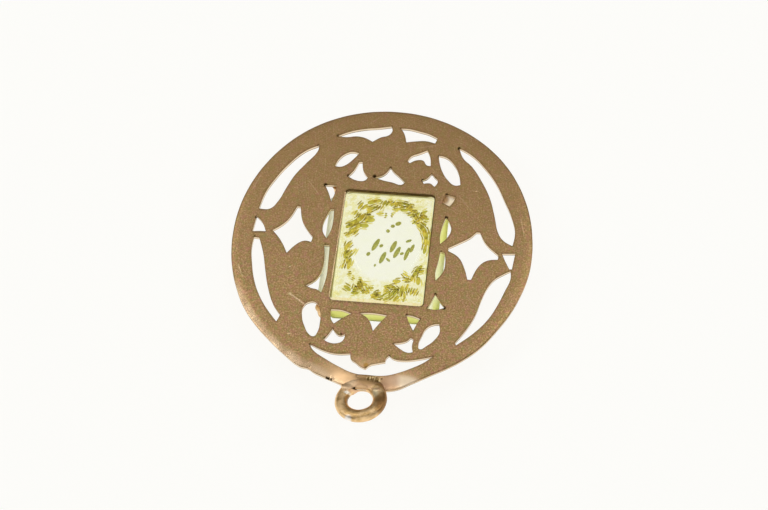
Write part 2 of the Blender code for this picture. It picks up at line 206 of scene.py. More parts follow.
def turns(loop):
    """The turn at each point of a closed outline, in degrees."""
    ahead, behind = following(loop) - loop, loop - np.roll(loop, 1, axis=0)
    cross = behind[:, 0] * ahead[:, 1] - behind[:, 1] * ahead[:, 0]
    return np.degrees(np.arctan2(cross, np.sum(behind * ahead, axis=1)))


def curved(points, step=0.02):
    """A smooth line through the points, finely sampled, without its last point."""
    if len(points) < 3:
        count = max(2, int(np.linalg.norm(points[-1] - points[0]) / step))
        share = np.linspace(0, 1, count, endpoint=False)[:, None]
        return points[0] * (1 - share) + points[-1] * share
    padded = np.vstack([2 * points[0] - points[1], points, 2 * points[-1] - points[-2]])
    out = []
    for p0, p1, p2, p3 in zip(padded, padded[1:], padded[2:], padded[3:]):
        t1 = np.linalg.norm(p1 - p0) ** 0.5 + 1e-9
        t2 = t1 + np.linalg.norm(p2 - p1) ** 0.5 + 1e-9
        t3 = t2 + np.linalg.norm(p3 - p2) ** 0.5 + 1e-9
        count = max(2, int(np.linalg.norm(p2 - p1) / step))
        t = np.linspace(t1, t2, count, endpoint=False)[:, None]

        def between(a, b, start, end):
            return (end - t) / (end - start) * a + (t - start) / (end - start) * b

        a1, a2, a3 = between(p0, p1, 0, t1), between(p1, p2, t1, t2), between(p2, p3, t2, t3)
        out.append(between(between(a1, a2, 0, t2), between(a2, a3, t1, t3), t1, t2))
    return np.vstack(out)


def soften(loop, reach, step=0.015):
    """The outline evenly resampled, with its corners worn round over the given reach."""
    closed = np.vstack([loop, loop[:1]])
    along = np.concatenate([[0], np.cumsum(np.linalg.norm(np.diff(closed, axis=0), axis=1))])
    count = max(32, int(along[-1] / step))
    at = np.linspace(0, along[-1], count, endpoint=False)
    even = np.stack([np.interp(at, along, closed[:, axis]) for axis in (0, 1)], 1)
    width = reach / (along[-1] / count)
    offsets = np.arange(-int(4 * width) - 1, int(4 * width) + 2)
    weights = np.exp(-0.5 * (offsets / width) ** 2)
    weights /= weights.sum()
    return sum(w * np.roll(even, -o, axis=0) for o, w in zip(offsets, weights))


def thinned(loop):
    """Fewer points: closer together where the outline turns."""
    lengths = np.linalg.norm(following(loop) - loop, axis=1)
    cost = np.cumsum(lengths / OUTLINE_STEP + np.abs(turns(loop)) / OUTLINE_TURN)
    marks = np.floor(cost - cost[0])
    return loop[np.concatenate([[True], marks[1:] > marks[:-1]])]


def smooth_outline(loop):
    """The CAD outline as a smooth line with sawn corners, no wider than it was."""
    sharp = np.nonzero(np.abs(turns(loop)) > CORNER_TURN)[0]
    parts = [curved(loop[np.arange(a, b + 1) % len(loop)])
             for a, b in zip(sharp, np.append(sharp[1:], sharp[:1] + len(loop)))]
    smooth = soften(np.vstack(parts or [curved(np.vstack([loop, loop[:1]]))]), SAW_ROUNDING)
    return thinned(np.clip(smooth, loop.min(0) + TOLERANCE, loop.max(0) - TOLERANCE))


def left_normals(loop):
    along = following(loop) - np.roll(loop, 1, axis=0)
    along /= np.linalg.norm(along, axis=1)[:, None] + 1e-12
    return np.stack([-along[:, 1], along[:, 0]], 1)


def safe_rounding(loop, normals, rounding):
    """The edge's rounding at each point, smaller where the metal comes to a point."""
    size = np.full(len(loop), rounding)
    ahead = following(loop) - loop
    for _ in range(30):
        moved = loop + normals * size[:, None]
        bad = (np.sum((following(moved) - moved) * ahead, axis=1)
               < 0.25 * np.sum(ahead * ahead, axis=1))
        if not bad.any():
            break
        size[bad | np.roll(bad, 1)] *= 0.75
    return size


def inside(points, loops):
    """Which points lie in the metal: inside the rim and outside every opening."""
    crossings = np.zeros(len(points), int)
    x, y = points[:, 0], points[:, 1]
    for loop in loops:
        for (x0, y0), (x1, y1) in zip(loop, following(loop)):
            if y0 != y1:
                hit = (y0 > y) != (y1 > y)
                crossings += hit & (x < (x1 - x0) * (y - y0) / (y1 - y0) + x0)
    return crossings % 2 == 1


def to_segment(xy, a, b):
    """How far each point is from a straight piece, and where along it the nearest place is."""
    a, b = np.array(a), np.array(b)
    share = np.clip((xy - a) @ (b - a) / (np.sum((b - a) ** 2) + 1e-12), 0, 1)
    return np.linalg.norm(xy - a - share[:, None] * (b - a), axis=1), share


def to_line(xy, line):
    """How far each point is from a line of straight pieces."""
    return np.min([to_segment(xy, a, b)[0] for a, b in zip(line, line[1:])], axis=0)


def lug_line(rim):
    """The rim without the ring's seat: its place is taken by a plain line across the lug."""
    seat = (rim[:, 1] < LUG_TOP) & (np.abs(rim[:, 0]) < LUG_SEAT)
    first = int(np.nonzero(seat & ~np.roll(seat, 1))[0][0])
    turned, kept = np.roll(rim, -first, axis=0), ~np.roll(seat, -first)
    return np.vstack([LUG_EDGE, turned[kept]])


# ---------------------------------------------------------------- materials

# The dark colour laid where the mesh asks for painted shade
PAINTED_SHADE_COLOUR = (0.05, 0.03, 0.008)
EYE_SPOTS = (                   # bright places beside the ring's eye, where the solder ends: a paler patch of solder on the right and a painted highlight glint on the left
    (1.3, -16.3, 0.6, (0.94, 0.78, 0.48), (0.8, 1.2), 0.0, 0.3),
    (-1.4, -16.3, 0.28, (1.0, 0.92, 0.78), (1.5, 0.8), 0.0, 0.5))


class Paint:
    """A node material with a few shorthand steps. Coordinates are layout millimetres."""

    def __init__(self, name):
        self.material = bpy.data.materials.new(name)
        self.material.use_nodes = True
        self.tree = self.material.node_tree
        self.shader = self.tree.nodes["Principled BSDF"]
        thing = self.node("TexCoord").outputs["Object"]
        self.place = self.node("Mapping", {"vector_type": "TEXTURE"}, Location=tuple(ORIGIN),
                               Scale=(MM, MM, MM), Vector=thing).outputs["Vector"]

    def plug(self, value, socket):
        """Link a socket to another, or set it to a value."""
        if isinstance(value, bpy.types.NodeSocket):
            self.tree.links.new(value, socket)
        elif socket.type == "RGBA":
            socket.default_value = (*value, 1.0)
        else:
            socket.default_value = value

    def fill(self, node, values):
        for name, value in values.items():
            self.plug(value, node.inputs[name.replace("_", " ")])
        return node

    def node(self, kind, settings=None, **values):
        made = self.tree.nodes.new("ShaderNode" + kind)
        for setting, value in (settings or {}).items():
            setattr(made, setting, value)
        return self.fill(made, values)

    def fed(self, kind, settings, *values):
        """A node whose first sockets are fed in their order."""
        made = self.node(kind, settings)
        for value, socket in zip(values, made.inputs):
            self.plug(value, socket)
        return made

    def mapped(self, angle=0.0, scale=(1, 1, 1), source=None):
        turn = self.node("Mapping", Vector=source or self.place,
                         Rotation=(0, 0, math.radians(angle)))
        return self.node("Mapping", Vector=turn.outputs["Vector"], Scale=scale).outputs["Vector"]

    def noise(self, scale, detail=3.0, roughness=0.55, source=None):
        return self.node("TexNoise", Vector=source or self.place, Scale=scale, Detail=detail,
                         Roughness=roughness).outputs["Fac"]

    def ramp(self, value, low, high, to_low=0.0, to_high=1.0):
        return self.node("MapRange", {"interpolation_type": "SMOOTHSTEP"}, Value=value,
                         From_Min=low, From_Max=high, To_Min=to_low,
                         To_Max=to_high).outputs["Result"]

    def math(self, operation, a, b):
        return self.fed("Math", {"operation": operation}, a, b).outputs[0]

    def times(self, a, b):
        return self.math("MULTIPLY", a, b)

    def spot(self, x, y, radius, stretch=(1, 1), angle=0.0, full=0.35):
        """1 at a place on the sheet, and within full of the radius, falling to 0 at the radius."""
        shift = self.fed("VectorMath", {"operation": "SUBTRACT"}, self.place,
                         (float(x), float(y), 0.0))
        shaped = self.mapped(-angle, (1 / stretch[0], 1 / stretch[1], 0), shift.outputs[0])
        length = self.fed("VectorMath", {"operation": "LENGTH"}, shaped)
        return self.ramp(length.outputs["Value"], full * radius, radius, 1.0, 0.0)

    def mix(self, factor, a, b):
        node = self.node("Mix", {"data_type": "RGBA"})
        for index, value in ((0, factor), (6, a), (7, b)):
            self.plug(value, node.inputs[index])
        return node.outputs[2]

    def spots(self, colour, places):
        """The colour with spots of others on it: x, y, radius, colour, then what shapes them."""
        return self.layers(colour, [(self.spot(x, y, radius, *shape), tint)
                                    for x, y, radius, tint, *shape in places])

    def layers(self, colour, steps):
        """The colour with others laid over it: how much of each shows, and the colour."""
        for factor, tint in steps:
            colour = self.mix(factor, colour, tint)
        return colour

    def axis(self, index):
        """One of the layout coordinates."""
        return self.fed("SeparateXYZ", {}, self.place).outputs[index]

    def wear_and_light(self):
        """How much painted shade, and how much burnish and painted highlight, a place has, as the
        mesh says.
        """
        stored = self.node("Attribute", {"attribute_name": "wear_and_light"})
        return self.fed("SeparateColor", {}, stored.outputs["Color"]).outputs[:2]

    def finish(self, colour, roughness, height, depth, **values):
        """The material with its colour, its roughness and a bump so many millimetres deep."""
        bump = self.node("Bump", Height=height, Strength=1.0, Distance=depth * MM)
        self.fill(self.shader, {"Base Color": colour, "Roughness": roughness,
                                "Normal": bump.outputs["Normal"], **values})
        return self.material


def scratch_field(paint, angles, fineness):
    """Fine straight scratches running at several angles, as a height."""
    total = 0.0
    for angle in angles:
        streaks = paint.noise(1.0, 2.0, 0.6, paint.mapped(angle, (0.35, fineness, 1)))
        total = paint.math("MAXIMUM", total, paint.ramp(streaks, 0.60, 0.72))
    return total


def reflection_stripes(paint, colour):
    """Painted reflections of solder lumps across the lug's inner edge, dark and bright by turns."""
    marks = paint.noise(1.0, 2.0, 0.6, paint.mapped(0.0, (5.5, 0.6, 1)))
    place = paint.spot(1.0, -14.72, 0.85, (1.15, 0.5), 0.0, 0.5)
    return paint.layers(colour, (
        (paint.times(paint.ramp(marks, 0.50, 0.42), place), (0.22, 0.145, 0.03)),
        (paint.times(paint.ramp(marks, 0.54, 0.62), place), (1.0, 0.80, 0.42))))


def worn_back():
    """Satin gold with a warm patina, browner by patches where the ring joins it, with painted
    highlights there and painted shade darkening it towards the top.
    """
    paint = Paint("worn_gold_back")
    patches = paint.noise(0.45, 3.0, 0.6)
    mottle = paint.noise(2.6, 5.0, 0.7)
    hue = paint.noise(1.3, 3.0, 0.6)
    grain = paint.noise(6.0, 2.0, 0.75)
    tint = paint.noise(2.1, 4.0, 0.7)
    colour = paint.mix(paint.ramp(patches, 0.35, 0.65), (0.47, 0.305, 0.130), (0.55, 0.335, 0.140))
    colour = paint.layers(colour, [
        (paint.ramp(source, low, high, 0.0, most), shade) for source, low, high, most, shade in (
            (mottle, 0.3, 0.7, 0.5, (0.37, 0.23, 0.095)),
            (hue, 0.50, 0.66, 0.7, (0.54, 0.290, 0.170)),
            (hue, 0.50, 0.34, 0.7, (0.45, 0.325, 0.105)),
            (grain, 0.48, 0.60, 0.7, (0.28, 0.17, 0.07)),
            (grain, 0.46, 0.36, 0.7, (0.76, 0.52, 0.28)),
            (tint, 0.53, 0.64, 0.85, (0.52, 0.245, 0.165)),
            (tint, 0.47, 0.36, 0.85, (0.36, 0.31, 0.11)),
            # painted shade: darker towards the top of the disc
            (paint.axis(1), -13.0, 14.0, 0.6, (0.34, 0.205, 0.085)))])
    # Where the ring joins: a polished patch lightened as a painted highlight, browner patches, and
    # a painted highlight on the lug's right
    colour = paint.spots(colour, (
        (0.0, -15.3, 7.5, (0.88, 0.57, 0.30), (1.0, 0.45)),
        (0.5, -14.75, 1.9, (0.42, 0.26, 0.11), (1.0, 0.55), 0.0, 0.2),
        (2.0, -15.5, 1.0, (0.42, 0.24, 0.13), (0.8, 1.0), 0.0, 0.3),
        (3.9, -14.65, 1.3, (1.0, 0.80, 0.56), (1.5, 0.7))))
    mauve, fleck = paint.spot(2.6, -14.75, 1.3, (0.9, 1.0)), paint.spot(0.05, -13.25, 0.36)
    colour = paint.layers(colour, ((paint.times(mauve, 0.75), (0.56, 0.34, 0.21)),
                                   (paint.times(fleck, 0.8), (0.55, 0.29, 0.05))))
    painted_shade, burnish_and_highlight = paint.wear_and_light()
    scratches = scratch_field(paint, (25.0, -38.0, 80.0), 14.0)
    # Painted reflection stripes, scratches, burnish and painted highlight, then painted shade
    colour = paint.layers(reflection_stripes(paint, colour), (
        (paint.times(scratches, 0.25), (0.90, 0.66, 0.40)),
        (burnish_and_highlight, (0.97, 0.70, 0.44)), (painted_shade, PAINTED_SHADE_COLOUR)))
    rough = paint.ramp(mottle, 0.25, 0.75, 0.28, 0.40)
    rough = paint.math("SUBTRACT", rough, paint.times(burnish_and_highlight, 0.10))
    rough = paint.math("ADD", rough, paint.times(painted_shade, 0.4))
    polish = paint.spot(0.0, -15.0, 7.5, (1.0, 0.45), 0.0, 0.7)
    height = paint.math("ADD", paint.times(scratches, -0.7), mottle)
    height = paint.times(height, paint.math("SUBTRACT", 1.0, polish))
    return paint.finish(colour, rough, height, 0.010, Metallic=1.0)


def sawn_edge():
    paint = Paint("sawn_gold_edge")
    grain = paint.noise(1.0, 3.0, 0.6, paint.mapped(0.0, (5.0, 5.0, 22.0)))
    colour = paint.mix(paint.ramp(grain, 0.3, 0.7), (0.30, 0.175, 0.065), (0.62, 0.40, 0.19))
    painted_shade, burnish_and_highlight = paint.wear_and_light()
    # Burnish and painted highlight on the walls, then painted shade
    colour = paint.layers(colour, ((burnish_and_highlight, (0.99, 0.84, 0.62)), (painted_shade, PAINTED_SHADE_COLOUR)))
    return paint.finish(colour, paint.ramp(grain, 0.3, 0.7, 0.30, 0.45), grain, 0.012, Metallic=1.0)


def polished_front():
    paint = Paint("polished_gold_front")
    patches = paint.noise(0.6, 3.0, 0.6)
    colour = paint.mix(paint.ramp(patches, 0.3, 0.7), (0.74, 0.50, 0.24), (0.80, 0.53, 0.27))
    scratches = scratch_field(paint, (10.0, 62.0, -50.0), 16.0)
    return paint.finish(colour, paint.ramp(patches, 0.3, 0.7, 0.20, 0.28), scratches, -0.006,
                        Metallic=1.0)


def wire_gold():
    """Rose gold, with pale solder colour brightened as a painted highlight at one claw's foot, a
    dark patch on the ring, and painted highlights on the ring's lower edge and beside its eye.
    """
    paint = Paint("rose_gold_wire")
    patches = paint.noise(1.3, 4.0, 0.6)
    colour = paint.mix(paint.ramp(patches, 0.38, 0.62), (0.74, 0.47, 0.19), (1.0, 0.71, 0.38))
    colour = paint.spots(colour, (
        # Pale solder at the claw's foot, made paler as a painted highlight
        (6.1, 5.4, 1.3, (0.98, 0.84, 0.62)),
        (5.85, 5.35, 0.65, (0.50, 0.31, 0.15), (1.0, 1.2)),
        (2.25, -17.4, 1.4, (0.34, 0.18, 0.065), (0.8, 1.2), 0.0, 0.35),
        (-1.24, -16.95, 0.8, (0.30, 0.17, 0.06), (0.3, 1.0)),
        # A painted highlight on the ring's lower left edge, and the eye's bright spots
        (-0.95, -19.25, 0.5, (0.99, 0.92, 0.84)), *EYE_SPOTS))
    return paint.finish(colour, paint.ramp(patches, 0.3, 0.7, 0.34, 0.50), paint.noise(2.4, 3.0),
                        0.04, Metallic=1.0)


def solder_gold():
    paint = Paint("granular_solder")
    grain = paint.noise(2.2, 4.0, 0.65)
    colour = paint.mix(paint.ramp(grain, 0.35, 0.65), (0.74, 0.46, 0.25), (0.92, 0.62, 0.38))
    colour = paint.spots(colour, (
        (0.6, -14.8, 1.6, (0.50, 0.31, 0.14), (1.2, 0.6)),
        # A painted highlight on the polished solder left of the ring
        (-1.9, -15.1, 1.6, (1.0, 0.74, 0.46)),
        (2.7, -17.0, 1.5, (0.26, 0.14, 0.075), (0.7, 1.2), 0.0, 0.3)))
    # Painted reflection stripes, painted shade in a slot by the eye, and the eye's bright spots
    colour = paint.spots(reflection_stripes(paint, colour), (
        (-0.60, -15.76, 0.36, (0.05, 0.03, 0.01), (1.5, 0.4), 15.0, 0.5), *EYE_SPOTS))
    return paint.finish(colour, paint.ramp(grain, 0.3, 0.7, 0.42, 0.56), paint.noise(3.0, 2.0),
                        0.02, Metallic=1.0)


def stone_glass(middle, half):
    """Clear in the plain oval, yellow in the wreath around it and green in the cut edge. Where the
    window meets it, the back has painted shade and a painted reflection of the gold.
    """
    paint = Paint("pale_green_glass")
    cloud = paint.noise(0.8, 2.0)
    wisps = paint.noise(2.0, 4.0, 0.65)
    oval = FIELD_MIDDLE + CARVING_SHIFT / 2
    inner = paint.spot(*oval, FIELD_HALF[0] * 1.12, (1.0, FIELD_HALF[1] / FIELD_HALF[0]), 0.0, 0.86)
    colour = paint.layers((1.0, 0.99, 0.88), (
        (paint.ramp(wisps, 0.42, 0.60), (0.86, 0.80, 0.34)), (inner, (1.0, 1.0, 1.0)),
        (paint.ramp(cloud, 0.45, 0.65, 0.0, 0.6), (0.99, 1.0, 0.93))))
    x, y = (paint.math("SUBTRACT", paint.axis(i), float(middle[i])) for i in (0, 1))
    across, along = paint.math("ABSOLUTE", x, 0.0), paint.math("ABSOLUTE", y, 0.0)

    def beyond(reach, low, high):
        """From 0 to 1 between two distances outside a rectangle around the middle."""
        out = paint.math("MAXIMUM", paint.math("SUBTRACT", across, float(reach[0])),
                         paint.math("SUBTRACT", along, float(reach[1])))
        return paint.ramp(out, low, high)

    outer = beyond(half, -0.95, -0.45)
    back = paint.ramp(paint.axis(2), -0.90, -0.75)
    right = paint.mix(paint.ramp(y, -2.0, 2.0), (0.95, 1.0, 0.62), (0.97, 1.0, 0.30))
    edge = paint.layers((1.0, 1.0, 0.90), ((paint.ramp(x, -3.0, 3.0), right),
                                           (paint.ramp(y, -4.0, -6.0), (0.80, 0.84, 0.18))))
    bevel = paint.times(beyond(STONE_TABLE, 0.06, 0.16), back)
    in_window = paint.math("SUBTRACT", 1.0, beyond(STONE_TABLE, 0.45, 0.60))
    # Painted shade in the gap between the window's edge and the stone, paler to the right and
    # turning cream at the bottom, where a painted reflection of the gold shows
    shade = paint.layers((0.14, 0.11, 0.02), (
        (paint.ramp(y, -5.5, -5.9), (0.95, 0.85, 0.60)),
        (paint.ramp(x, 3.65, 4.15, 0.0, 0.6), (0.85, 0.80, 0.50))))
    colour = paint.layers(colour, (
        (outer, edge),
        (paint.times(beyond(STONE_TABLE, -0.18, -0.08), back), (1.0, 0.97, 0.62)),
        (paint.times(bevel, in_window), shade),
        # A painted reflection of the window's lower gold edge
        (paint.times(paint.ramp(y, -5.58, -5.66), back), (1.0, 0.80, 0.48))))
    blur = paint.times(paint.times(beyond(STONE_TABLE, -0.03, 0.03), back), 0.4)
    rough = paint.math("MAXIMUM", paint.ramp(outer, 0.0, 1.0, 0.0, 0.65), blur)
    paint.fill(paint.shader, {"Base Color": colour, "Roughness": rough, "IOR": 1.5,
                              "Transmission Weight": 1.0})
    tint = paint.node("VolumeAbsorption", Color=(0.85, 0.89, 0.10), Density=95.0)
    paint.plug(tint.outputs["Volume"], paint.tree.nodes["Material Output"].inputs["Volume"])
    return paint.material


def gilding(name, dark, bright, shade, metal):
    """Gold laid so thinly in the carving that light comes through it."""
    paint = Paint(name)
    patches = paint.noise(1.1, 3.0, 0.6)
    grain = paint.noise(5.0, 3.0, 0.6)
    colour = paint.mix(paint.ramp(patches, 0.35, 0.65), dark, bright)
    colour = paint.mix(paint.ramp(grain, 0.4, 0.7, 0.0, 0.6), colour, shade)
    return paint.finish(colour, paint.ramp(grain, 0.3, 0.7, 0.30, 0.45), grain, 0.01,
                        Metallic=metal, Transmission_Weight=1.0, IOR=1.2)


# ---------------------------------------------------------------- sheet

SCRATCHES = [                   # from, to, half width, depth
    ((-8.2, -6.4), (-6.8, -7.3), 0.09, 0.030),
    ((-13.9, -3.6), (-13.5, -4.4), 0.07, 0.020),
    ((-14.0, -4.2), (-13.3, -4.7), 0.06, 0.018),
    ((2.6, 10.9), (4.3, 11.3), 0.06, 0.015),
    ((9.0, -5.2), (10.0, -6.1), 0.06, 0.015),
    ((-8.0, 6.2), (-6.9, 4.9), 0.06, 0.014),
    ((7.4, 5.6), (8.6, 4.2), 0.05, 0.014),
    ((13.7, 3.5), (14.1, 1.9), 0.06, 0.016),
    ((-13.6, 5.0), (-13.1, 6.4), 0.06, 0.015),
    ((1.2, -9.6), (2.4, -9.1), 0.05, 0.012),
]
DENTS = [                       # middle, radius, depth
    ((-8.7, -3.4), 0.16, 0.05), ((-7.8, -10.6), 0.18, 0.05), ((-5.95, -14.0), 0.17, 0.10),
    ((4.9, 6.3), 0.12, 0.04), ((5.3, 5.4), 0.10, 0.04), ((11.0, -11.0), 0.14, 0.03),
    ((-2.92, -14.88), 0.12, 0.05), ((-5.4, -13.85), 0.14, 0.06), ((-0.5, -13.95), 0.12, 0.06),
    ((9.0, 6.4), 0.12, 0.02), ((-11.6, -9.0), 0.15, 0.03), ((7.9, 2.9), 0.10, 0.02),
]
DRILL_MARKS = [                 # where the saw was let in: middle, radius, and how dark the painted shade in the pit is
    ((-5.72, 11.75), 0.20, 0.7), ((-7.62, 10.45), 0.20, 0.5), ((-4.12, 7.22), 0.22, 0.8),
    ((-6.28, 5.98), 0.26, 1.0), ((-1.45, 7.35), 0.26, 1.0), ((0.08, 8.45), 0.18, 0.8),
    ((4.85, 10.15), 0.20, 0.9), ((6.8, 11.18), 0.22, 1.0), ((3.5, 7.25), 0.24, 1.0),
    ((4.3, 8.02), 0.16, 0.8), ((4.72, 7.62), 0.16, 0.7), ((6.05, 5.82), 0.22, 0.8),
    ((6.25, 3.22), 0.24, 1.0), ((12.95, 3.05), 0.12, 0.6), ((5.98, -5.22), 0.18, 0.9),
    ((5.38, -6.72), 0.18, 0.8), ((6.95, -6.6), 0.26, 1.0), ((3.42, -7.66), 0.18, 0.7),
    ((4.72, -7.98), 0.18, 0.7), ((-3.92, -8.0), 0.22, 0.9), ((-3.6, -9.72), 0.16, 0.7),
    ((-4.28, -10.75), 0.18, 0.6), ((2.2, -12.12), 0.18, 0.7), ((6.1, -0.55), 0.18, 0.5),
    ((-5.5, -0.65), 0.16, 0.5), ((-12.7, -0.3), 0.16, 0.5), ((-12.80, 1.78), 0.2, 1.0),
    ((-12.60, 1.58), 0.12, 0.9), ((-12.45, 1.38), 0.11, 0.8), ((-12.32, 1.15), 0.10, 0.7),
    ((-5.62, -11.5), 0.16, 0.5), ((-0.3, 13.25), 0.14, 0.4), ((0.6, 13.1), 0.14, 0.4),
    ((-2.75, -10.2), 0.16, 0.7), ((2.45, -10.75), 0.16, 0.6), ((0.05, -13.5), 0.2, 0.5),
    ((-0.6, -14.4), 0.3, 0.6), ((-3.60, -14.80), 0.16, 1.0), ((-3.38, -14.87), 0.17, 1.0),
    ((-3.12, -14.95), 0.14, 0.9), ((0.08, -14.45), 0.13, 0.7), ((0.60, -14.50), 0.12, 0.6),
    ((1.14, -14.52), 0.13, 0.8), ((1.72, -14.55), 0.13, 0.6),
]


def bell(value):
    """1 at 0, falling smoothly to 0 at 1 and beyond."""
    inner = np.clip(1 - value * value, 0, None)
    return inner * inner


def from_middle(x, y):
    """How far a place is from the middle of the rim's circle."""
    return np.hypot(x, y - 0.1)


def to_low_left(x, y):
    """How far down and left a place is: 1 is near the rim there."""
    return -(0.62 * x + 0.78 * y) / 14.5


def sheet_warp(xy):
    """The hand-cut sheet isn't quite flat, and it is bent and worn where the ring joins it."""
    x, y = xy[:, 0], xy[:, 1]
    wave = 0.012 * (np.sin(0.41 * x + 0.9) * np.cos(0.37 * y - 0.4) + np.sin(0.23 * (x - y)))
    lug = LUG_RISE * bell(np.hypot(x / 4.4, (y + 15.7) / 2.4))
    low_left = np.clip(to_low_left(x, y) - 0.82, 0, 0.15) / 0.15
    rim_roll = -(0.03 + 0.09 * low_left) * np.clip((from_middle(x, y) - 14.2) / 0.7, 0, 1) ** 2
    return wave + lug + rim_roll


def sheet_marks(xy):
    """Scratches and dents in the back, below the sheet's own surface."""
    depth = np.zeros(len(xy))
    for start, end, half, deep in SCRATCHES:
        away, share = to_segment(xy, start, end)
        groove = bell(away / half) * (4 * share * (1 - share)) ** 0.5
        lip = 0.35 * bell((away - 1.3 * half) / (0.5 * half))
        depth += deep * (lip * (share > 0) * (share < 1) - groove)
    drilled = [(middle, radius, DRILL_DEPTH * dark) for middle, radius, dark in DRILL_MARKS]
    for middle, radius, deep in DENTS + drilled:
        depth -= deep * bell(np.linalg.norm(xy - middle, axis=1) / radius)
    return depth


def sheet_wear_and_light(xy):
    """How much painted shade the back has, in the drilled pits, and how much burnish and painted
    highlight: burnish along the scratches and dents, painted highlight streaks on the rim's lower
    left.
    """
    painted_shade, burnish_and_highlight = np.zeros(len(xy)), np.zeros(len(xy))
    # Painted shade in the drilled pits
    for middle, radius, dark in DRILL_MARKS:
        away = np.linalg.norm(xy - middle, axis=1)
        painted_shade = np.maximum(painted_shade, dark * np.clip(1.6 * bell(away / (1.1 * radius)), 0, 1))
    for start, end, half, deep in SCRATCHES:
        away, _ = to_segment(xy, start, end)
        burnish_and_highlight = np.maximum(burnish_and_highlight, min(0.8, 900 * deep ** 2) * bell(away / (1.5 * half)))
    for middle, radius, _ in DENTS:
        away = np.linalg.norm(xy - middle, axis=1)
        burnish_and_highlight = np.maximum(burnish_and_highlight, 0.7 * bell(away / radius))
    x, y = xy[:, 0], xy[:, 1]
    # Painted highlight streaks along the rim's lower left edge
    outward = np.clip((from_middle(x, y) - 14.35) / 0.4, 0, 1)
    streaks = 0.5 + 0.5 * np.sin(3.1 * x + 1.7 * y + 2.0 * np.sin(1.3 * y))
    low_left = np.clip(to_low_left(x, y) - 0.86, 0, 0.1) * 10
    burnish_and_highlight = np.maximum(burnish_and_highlight, low_left * outward * (0.45 + 0.5 * streaks))
    return np.column_stack([painted_shade, burnish_and_highlight])


def mark_points():
    """Extra mesh points that carry the scratches and dents."""
    points = []
    for start, end, half, _ in SCRATCHES:
        a, b = np.array(start), np.array(end)
        length = np.linalg.norm(b - a)
        side = np.array([a[1] - b[1], b[0] - a[0]]) / length
        for share in np.linspace(0, 1, int(length / MARK_STEP)):
            for offset in (-1.6, -1.2, -0.7, 0.0, 0.7, 1.2, 1.6):
                points.append(a + share * (b - a) + side * offset * half)
    for middle, radius, _ in DENTS + DRILL_MARKS:
        for ring, count in ((0.3, 6), (0.6, 10), (0.85, 14), (1.05, 16)):
            for step in range(count):
                turn = math.tau * step / count + ring
                points.append(np.array(middle) + ring * radius
                              * np.array([math.cos(turn), math.sin(turn)]))
    return np.array(points)


def window_light(loop):
    """Painted shade on the window's top and right edges, and a painted highlight on its left and
    lower edge.
    """
    near_low = np.min(np.abs(loop - loop.min(0)), axis=1) < WINDOW_SIDE
    near_high = np.min(np.abs(loop - loop.max(0)), axis=1) < WINDOW_SIDE
    return np.column_stack([0.8 * near_high, 1.0 * (near_low & ~near_high)])


def leaning_window(loop):
    """The window's left side was cut a little out of square."""
    low, high = loop.min(0), loop.max(0)
    left = np.clip((high[0] - loop[:, 0]) / (high[0] - low[0]), 0, 1)
    up = (loop[:, 1] - (low[1] + high[1]) / 2) / (high[1] - low[1])
    return loop + np.column_stack([WINDOW_LEAN * left * up, np.zeros(len(loop))])


def wall_light(place, down, window):
    """The openings' walls are painted bright as a painted highlight, with painted shade in places
    along their lower edge. The window's walls are painted dark as painted shade all the way down."""
    if window:
        return np.column_stack([np.full(len(place), 0.65), np.zeros(len(place))])
    x, y = place[:, 0], place[:, 1]
    patchy = np.clip(0.55 + 0.9 * np.sin(0.9 * x + 1.2) * np.sin(1.1 * y + 0.6 * x), 0, 1)
    low = max(0.0, (down - WALL_LEVELS[1]) / (1 - WALL_LEVELS[1]))
    return np.column_stack([low * patchy, np.full(len(place), WALL_HIGHLIGHT * (1 - low))])


def triangulate(points, edges):
    made = geometry.delaunay_2d_cdt([Vector(p) for p in points], edges, [], 2, 1e-7)
    return np.array([tuple(v) for v in made[0]]), [list(f) for f in made[2]], made[3]


def ring_of(indices):
    """Each index of a closed row with the next one."""
    return list(zip(indices, indices[1:] + indices[:1]))


def face_points(insets):
    """Points spread evenly over the metal, away from its edges, and closer at the marks."""
    reach = RIM_RADIUS + 0.8
    columns = np.arange(-reach, reach, FACE_STEP)
    rows = np.arange(-reach, reach, FACE_STEP * math.sqrt(0.75))
    grid = np.array([(x + (index % 2) * FACE_STEP / 2, y)
                     for index, y in enumerate(rows) for x in columns])
    marks = mark_points()
    far = np.min(np.linalg.norm(grid[:, None] - marks[None, ::3], axis=2), axis=1) > MARK_GAP
    fill = np.vstack([grid[far], marks])
    fill = fill[inside(fill, insets)]
    tree = kdtree.KDTree(sum(len(loop) for loop in insets))
    for index, point in enumerate(np.vstack(insets)):
        tree.insert((*point, 0.0), index)
    tree.balance()
    return np.array([p for p in fill if tree.find((*p, 0.0))[2] > EDGE_GAP])


